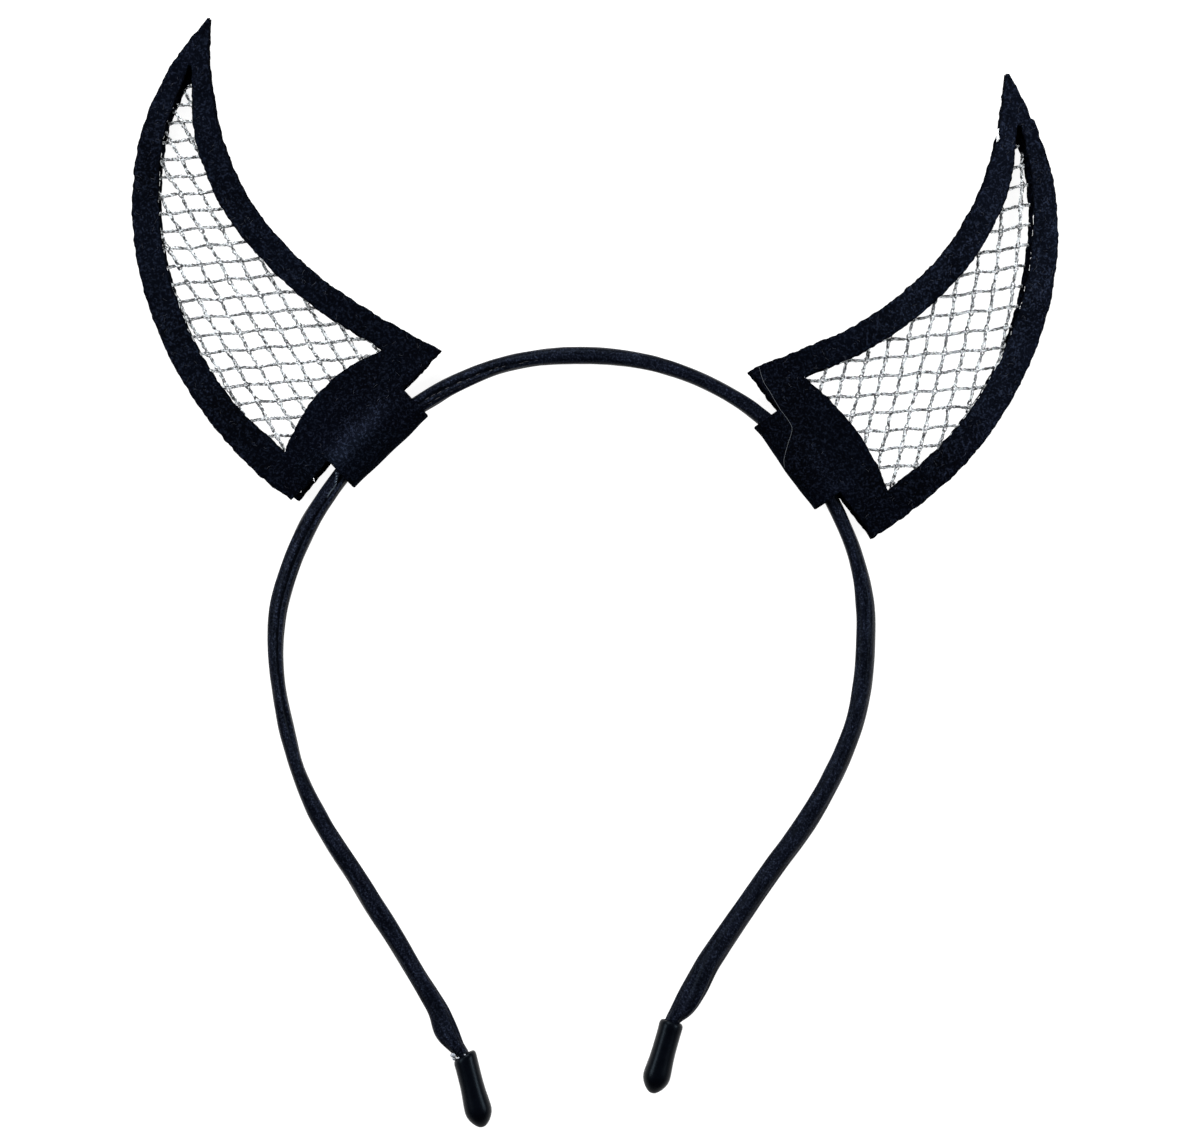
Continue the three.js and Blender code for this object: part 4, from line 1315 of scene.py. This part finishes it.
    def _lint(self, points: Array, faces: tuple[Array, Array], material: Material) -> None:
        """Scatters short curled fibres over the front and the back of the felt."""
        rng = np.random.default_rng(self.seed)
        draft = MeshDraft()
        for grid, up, count in ((faces[0], 1.0, self.lint_over), (faces[1], -1.0, self.lint_under)):
            for _ in range(count):
                cell = rng.integers(0, grid.shape[0] - 1), rng.integers(1, grid.shape[1] - 2)
                ends = points[grid[cell]], points[grid[cell[0], cell[1] + 1]]
                spot = ends[0] + (ends[1] - ends[0]) * rng.uniform()
                length, way, curl = rng.uniform(0.5, 1.7), rng.uniform(0, 2 * math.pi), rng.normal(0, 1.1)
                t = np.linspace(-0.5, 0.5, 6)
                turn = way + curl * t
                path = np.column_stack([np.cumsum(np.cos(turn)), np.cumsum(np.sin(turn)), 0 * t]) * length / 6
                path += spot - path[3]
                droop = 0.10 * (2 * t) ** 2 * rng.uniform(0.2, 1.0)
                path[:, 2] = np.maximum(spot[2] + up * (0.035 - droop), 0.03)
                draft.rod(path, rng.uniform(0.016, 0.026), 4)
        draft.finish(f"felt_fibres_{self.side.value}", material, "felt")


@dataclass
class HornNet:
    """The silver net of a horn: strands of three twisted yarns that part into small eyes where they cross."""

    horn: Horn
    yarn: float = 0.148
    row_thin: float = 0.92
    row_twist: float = 0.24
    column_twist: float = 0.24
    row_eye: float = 0.24
    column_eye: float = 0.34
    row_open: float = 0.5
    column_open: float = 0.95
    lay: float = 1.7
    step: float = 0.24
    trace: float = 0.08
    shortest: float = 1.5
    # number of the first strand and of the one after the last, and the same for the columns of knots
    strands: tuple[int, int] = (-14, 26)
    knot_columns: tuple[int, int] = (-26, 26)
    # how far strands bow between crossings, and stand above or under the middle plane
    row_bow: float = 0.14
    column_bow: float = 0.08
    over_under: float = 0.10
    knot_yarn: float = 0.085

    def build(self, finishes: Finishes) -> None:
        """Makes the net."""
        horn = self.horn
        draft = MeshDraft()
        loop = horn.place(self._reach())
        rng = np.random.default_rng(horn.seed + 40)
        low, high = loop.min(axis=0) - 1, loop.max(axis=0) + 1
        for number in range(*self.strands):
            x = np.arange(low[0], high[0], self.trace)
            self._strand(draft, np.stack([x, horn.net.row_line(number, x)], axis=1), loop, True, rng)
            y = np.arange(low[1], high[1], self.trace)
            self._strand(draft, np.stack([horn.net.column_line(number, y), y], axis=1), loop, False, rng)
        self._knots(draft, loop, low, high, rng)
        self._glints(finishes.foil, rng)
        name = horn.side.value
        net = draft.finish(f"silver_net_{name}", finishes.yarn, "net", f"net_{name}")
        work = bmesh.new()
        work.from_mesh(net.data)
        cover = sum(face.calc_area() for face in work.faces) / 2
        work.free()

    def _reach(self) -> Array:
        """Gives the net's edge: well under the felt, but hardly over the back layer where that one shows."""
        horn = self.horn
        window = horn.loops(Layer.BACK)[1]
        share = np.linspace(0, 1, horn.counts[0])
        shown = smooth(np.interp(share, *np.array(horn.back_shows).T), 0.04, 0.3)
        tuck = np.full(len(window), horn.tuck)
        tuck[:horn.counts[0]] = horn.tuck * (1 - shown) + 0.4 * shown
        return window + loop_normals(window) * tuck[:, None]

    def _strand(self, draft: MeshDraft, line: Array, loop: Array, is_row: bool,
                rng: np.random.Generator) -> None:
        """Adds the stretches of one strand that lie in the window, each as three twisted yarns.

        Args:
            draft: The mesh so far.
            line: The strand's straight course, finely stepped.
            loop: The window's outline with the part that is tucked under the felt.
            is_row: Whether the strand is a row, and not a column.
            rng: The source of its unevenness.
        """
        held = inside(line, loop)
        turns = np.flatnonzero(np.diff(np.concatenate([[0], held.astype(int), [0]])))
        for begin, end in zip(turns[::2], turns[1::2]):
            run = line[begin:end]
            length = arc_lengths(run)[-1] if len(run) > 1 else 0.0
            if length < self.shortest:
                continue
            run = evenly(run, max(int(length / self.step), 6))
            spots = arc_lengths(run)
            along = np.gradient(run, axis=0)
            along /= np.linalg.norm(along, axis=1)[:, None]
            across = np.stack([-along[:, 1], along[:, 0]], axis=1)
            seed = int(rng.integers(1, 9999))
            net = self.horn.net
            count, pitch = ((net.columns_at(run), net.column_pitch) if is_row
                            else (net.rows_at(run), net.row_pitch))
            gap = np.abs(count - np.round(count)) * pitch
            twist, part_by, wide = ((self.row_twist, self.row_eye, self.row_open) if is_row
                                    else (self.column_twist, self.column_eye, self.column_open))
            eye = bump(gap, 0.0, wide)
            bow = (self.row_bow if is_row else self.column_bow) * np.cos(np.pi * count)
            bow = bow + 0.10 * unevenness(run, 2.2, seed)
            start = rng.uniform(0, 2 * math.pi)
            height = MID_PLANE + (self.over_under if is_row else -self.over_under)
            for ply, way in enumerate((1.0, -1.0, float(rng.choice((-1.0, 1.0))))):
                angle = 2 * np.pi * spots / self.lay + start + ply * 2 * np.pi / 3
                part = twist * np.cos(angle) * (1 - 0.7 * eye) + way * part_by * eye
                part = part + bow + 0.06 * unevenness(run, 0.6, seed + 1 + ply)
                lift = twist * 0.8 * np.sin(angle) * (1 - 0.6 * eye)
                path = np.column_stack([run + across * part[:, None], height + lift])
                thick = self.yarn * (1 + 0.32 * unevenness(run, 0.6, seed + 3 + ply))
                draft.rod(path, thick * (self.row_thin if is_row else 1.0), 6)

    def _glints(self, material: Material, rng: np.random.Generator) -> None:
        """Leaves cut ends of yarn along the outer edge of the window, under the front felt."""
        horn = self.horn
        draft = MeshDraft()
        edge = horn.place(horn.loops(Layer.FRONT)[1][:horn.counts[0]])
        length = arc_lengths(edge)
        middle = edge.mean(axis=0)
        spot = horn.glints[0] * length[-1]
        while spot < horn.glints[1] * length[-1]:
            size = rng.uniform(0.25, 1.0)
            reach = np.linspace(spot, spot + size, 6)
            path = np.stack([np.interp(reach, length, column) for column in edge.T], axis=1)
            inward = middle - path[0]
            path = path + inward / np.linalg.norm(inward) * rng.uniform(-0.05, 0.12)
            height = horn.front_under - 0.05 + 0.25 * np.linspace(0, rng.uniform(0, 1), 6)
            draft.rod(np.column_stack([path, height]), rng.uniform(0.04, 0.085), 6)
            spot += size + rng.exponential(horn.glints[2])
        draft.finish(f"cut_yarn_{horn.side.value}", material, "net")

    def _knots(self, draft: MeshDraft, loop: Array, low: Array, high: Array,
               rng: np.random.Generator) -> None:
        """Adds a small tied loop where a row and a column cross."""
        net = self.horn.net
        for row in range(*self.strands):
            for column in range(*self.knot_columns):
                spot = np.array([net.x, net.y])
                for _ in range(12):
                    spot = np.array([net.column_line(column, spot[1]), spot[1]])
                    spot = np.array([spot[0], net.row_line(row, spot[0])])
                if not (low < spot).all() or not (spot < high).all() or not inside(spot[None], loop)[0]:
                    continue
                t = np.linspace(0, 2 * math.pi * 0.93, 11) + rng.uniform(0, 6)
                size = rng.uniform(0.34, 0.46)
                path = np.stack([spot[0] + size * np.cos(t), spot[1] + size * 0.9 * np.sin(t),
                                 MID_PLANE + 0.16 + 0.06 * np.sin(2 * t)], axis=1)
                draft.rod(path, self.knot_yarn, 5)


# Small pieces


@dataclass
class LooseBits:
    """Yarn ends at the cut edges, one long pale fibre on the right horn and the glue at the left tip."""

    # x and y of the middle, height, heading in degrees, length and radius, in millimetres
    yarn_ends: tuple[tuple[float, float, float, float, float, float], ...] = (
        (-36.7, 34.1, 5.2, 40.0, 0.9, 0.14), (-56.2, 18.7, 5.0, 125.0, 0.8, 0.12),
        (-58.8, 16.3, 4.6, 70.0, 0.4, 0.14), (-34.3, 41.3, 4.6, 70.0, 0.6, 0.10),
        (80.45, 87.5, 5.6, 73.0, 2.6, 0.32), (80.95, 94.7, 5.3, 40.0, 0.5, 0.15),
        (86.2, 92.0, 5.0, 15.0, 0.6, 0.11))
    # x and y down the right horn's felt
    long_fibre: tuple[tuple[float, float], ...] = (
        (32.7, 41.5), (33.6, 38.4), (35.1, 35.9), (36.7, 33.1), (38.9, 30.0), (39.3, 29.0), (39.2, 28.0),
        (38.5, 25.8), (37.9, 23.6), (37.7, 22.6), (37.8, 21.1))
    # x, y, height and radius of the glue's lumps; the last one is a painted highlight, a pale lump where a
    # glint shows on the band at the mouth
    glue: tuple[tuple[float, float, float, float], ...] = (
        (-28.4, -96.35, 4.9, 0.58), (-28.1, -97.05, 4.6, 0.42), (-27.3, -96.85, 5.6, 0.26),
        (-26.0, -96.2, 6.15, 0.2))

    def build(self, finishes: Finishes, right: Horn) -> None:
        """Makes the bits."""
        draft = MeshDraft()
        rng = np.random.default_rng(5)
        for x, y, height, heading, length, radius in self.yarn_ends:
            t = np.linspace(-0.5, 0.5, 8)
            way = math.radians(heading)
            bow = 0.12 * length * np.sin(t * 5 + rng.uniform(0, 3))
            path = np.stack([x + length * t * math.cos(way) - bow * math.sin(way),
                             y + length * t * math.sin(way) + bow * math.cos(way), height + 0.2 * t], axis=1)
            draft.rod(path, radius * (1 - 0.5 * np.abs(2 * t) ** 3), 7, flat=0.6)
        draft.finish("yarn_ends", finishes.foil, "net")
        self._fibre(finishes.pale_lint, right)
        self._glue(finishes.glue)

    def _fibre(self, material: Material, horn: Horn) -> None:
        """Lays the long fibre on the felt."""
        draft = MeshDraft()
        line = evenly(through(np.array(self.long_fibre), 12), 90)
        height = horn.level(horn.unplace(line), Layer.FRONT) + horn.felt / 2 + 0.04
        draft.rod(np.column_stack([line, height]), 0.045, 5)
        draft.finish("pale_fibre", material, "felt")

    def _glue(self, material: Material) -> None:
        """Sets the dried glue at the mouth of the left tip."""
        work = bmesh.new()
        for x, y, height, radius in self.glue:
            made = bmesh.ops.create_icosphere(work, subdivisions=3, radius=radius)
            for vert in made["verts"]:
                spot = np.array(vert.co)
                swell = 1 + 0.10 * unevenness(spot[None] + [x, y, 0], radius * 1.6, 6)[0]
                vert.co = (spot * [1.0, 0.85, 0.8] * swell + [x, y, height] + SHIFT) * MM
        bmesh.ops.recalc_face_normals(work, faces=work.faces)
        mesh = bpy.data.meshes.new("glue_bead")
        work.to_mesh(mesh)
        work.free()
        for face in mesh.polygons:
            face.use_smooth = True
        mesh.materials.append(material)
        bead = bpy.data.objects.new("glue_bead", mesh)
        bpy.context.scene.collection.objects.link(bead)
        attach(bead, "root")
        log.info("glue_bead: %d faces", len(mesh.polygons))


LEFT_HORN = Horn(
    side=Side.LEFT, x=-45.5, y=29.8, turn=46.0, mirrored=True,
    tab=Tab(2.2, 0.4, 10.4, 7.4), window_rise=3.4,
    rows=(HornRow((21.5, 0), (-21.05, -0.55)), HornRow((22.4, 8), (-18.5, 8), (7.0, 5.6)),
          HornRow((21.4, 24), (-15.2, 23), (6.1, 5.7)), HornRow((16.5, 41.5), (-14.4, 35.5), (6.0, 5.6)),
          HornRow((5.9, 59.3), (-15.9, 48.2), (5.7, 5.7)), HornRow((-9.4, 72.4), (-20.8, 60.6), (4.8, 5.3)),
          HornRow((-24.4, 78.1), (-29.4, 72.3), (3.5, 3.7)), HornRow((-36.2, 79.4), (-36.6, 79.0))),
    net=NetLay(-77.3, 51.2, 3.58, 0.09, 0.0, 4.26, -0.578, 0.0),
    back_shows=((0.0, 0.0), (0.4, 0.0), (0.6, 0.05), (0.8, 0.15), (0.87, 0.2), (0.9, 0.45), (0.94, 0.6),
                (0.965, 1.3), (1.0, 1.8)),
    seed=21, hump=0.4, paler_and_sheen=0.75, paler_upward=0.14, fold_wave=0.1, back_base=((0.0, -0.1), (-0.9, -0.8)),
    front_lift=0.45, jog=0.0, glints=(0.3, 0.9, 2.6))
RIGHT_HORN = Horn(
    side=Side.RIGHT, x=43.3, y=23.8, turn=53.5, mirrored=False,
    tab=Tab(-0.7, -0.8, 10.3, 6.3), window_rise=2.0,
    rows=(HornRow((20.7, 0), (-20.7, 0)), HornRow((21.0, 3.2), (-20.4, 3.0)),
          HornRow((21.1, 8), (-18.9, 8), (6.2, 5.7)), HornRow((19.8, 24), (-15.5, 23), (6.2, 5.7)),
          HornRow((13.1, 42.9), (-15.4, 36), (6.1, 5.8)), HornRow((2.2, 58.4), (-17.6, 48.3), (5.7, 5.7)),
          HornRow((-12.0, 69.7), (-23.5, 60.6), (4.8, 5.1)),
          HornRow((-26.3, 75.2), (-30.4, 69.1), (2.9, 3.72)), HornRow((-37.6, 77.0), (-38.1, 76.4))),
    net=NetLay(65.0, 40.0, 3.66, 0.07, 0.0165, 3.81, 0.25, -0.003),
    back_shows=((0.0, 0.0), (0.4, 0.1), (0.5, 0.4), (0.62, 0.7), (0.74, 0.5), (0.82, 0.6), (0.87, 0.65),
                (0.91, 0.75), (0.93, 1.0), (0.95, 1.2), (0.965, 1.25), (1.0, 2.2)),
    seed=57, hump=0.15, paler_and_sheen=0.12, paler_upward=0.34, fold_wave=0.28, back_base=((0.0, -0.6), (0.0, -0.6)),
    front_lift=0.0, jog=0.45, glints=(0.2, 0.8, 1.5))
TIPS = (RubberTip(Side.LEFT, (-26.15, -96.4), (-24.05, -104.7), slant=-0.25),
        RubberTip(Side.RIGHT, (15.4, -89.7), (13.1, -97.9), slant=0.0))


def main() -> None:
    """Builds the studio and the headband's pieces in order."""
    logging.basicConfig(level=logging.INFO, format="%(message)s")
    finishes = Finishes()
    Studio().build(finishes)
    SatinBand().build(finishes)
    for tip in TIPS:
        tip.build(finishes)
    for horn in (LEFT_HORN, RIGHT_HORN):
        horn.build(finishes)
    LooseBits().build(finishes, RIGHT_HORN)


if __name__ == "__main__":
    main()
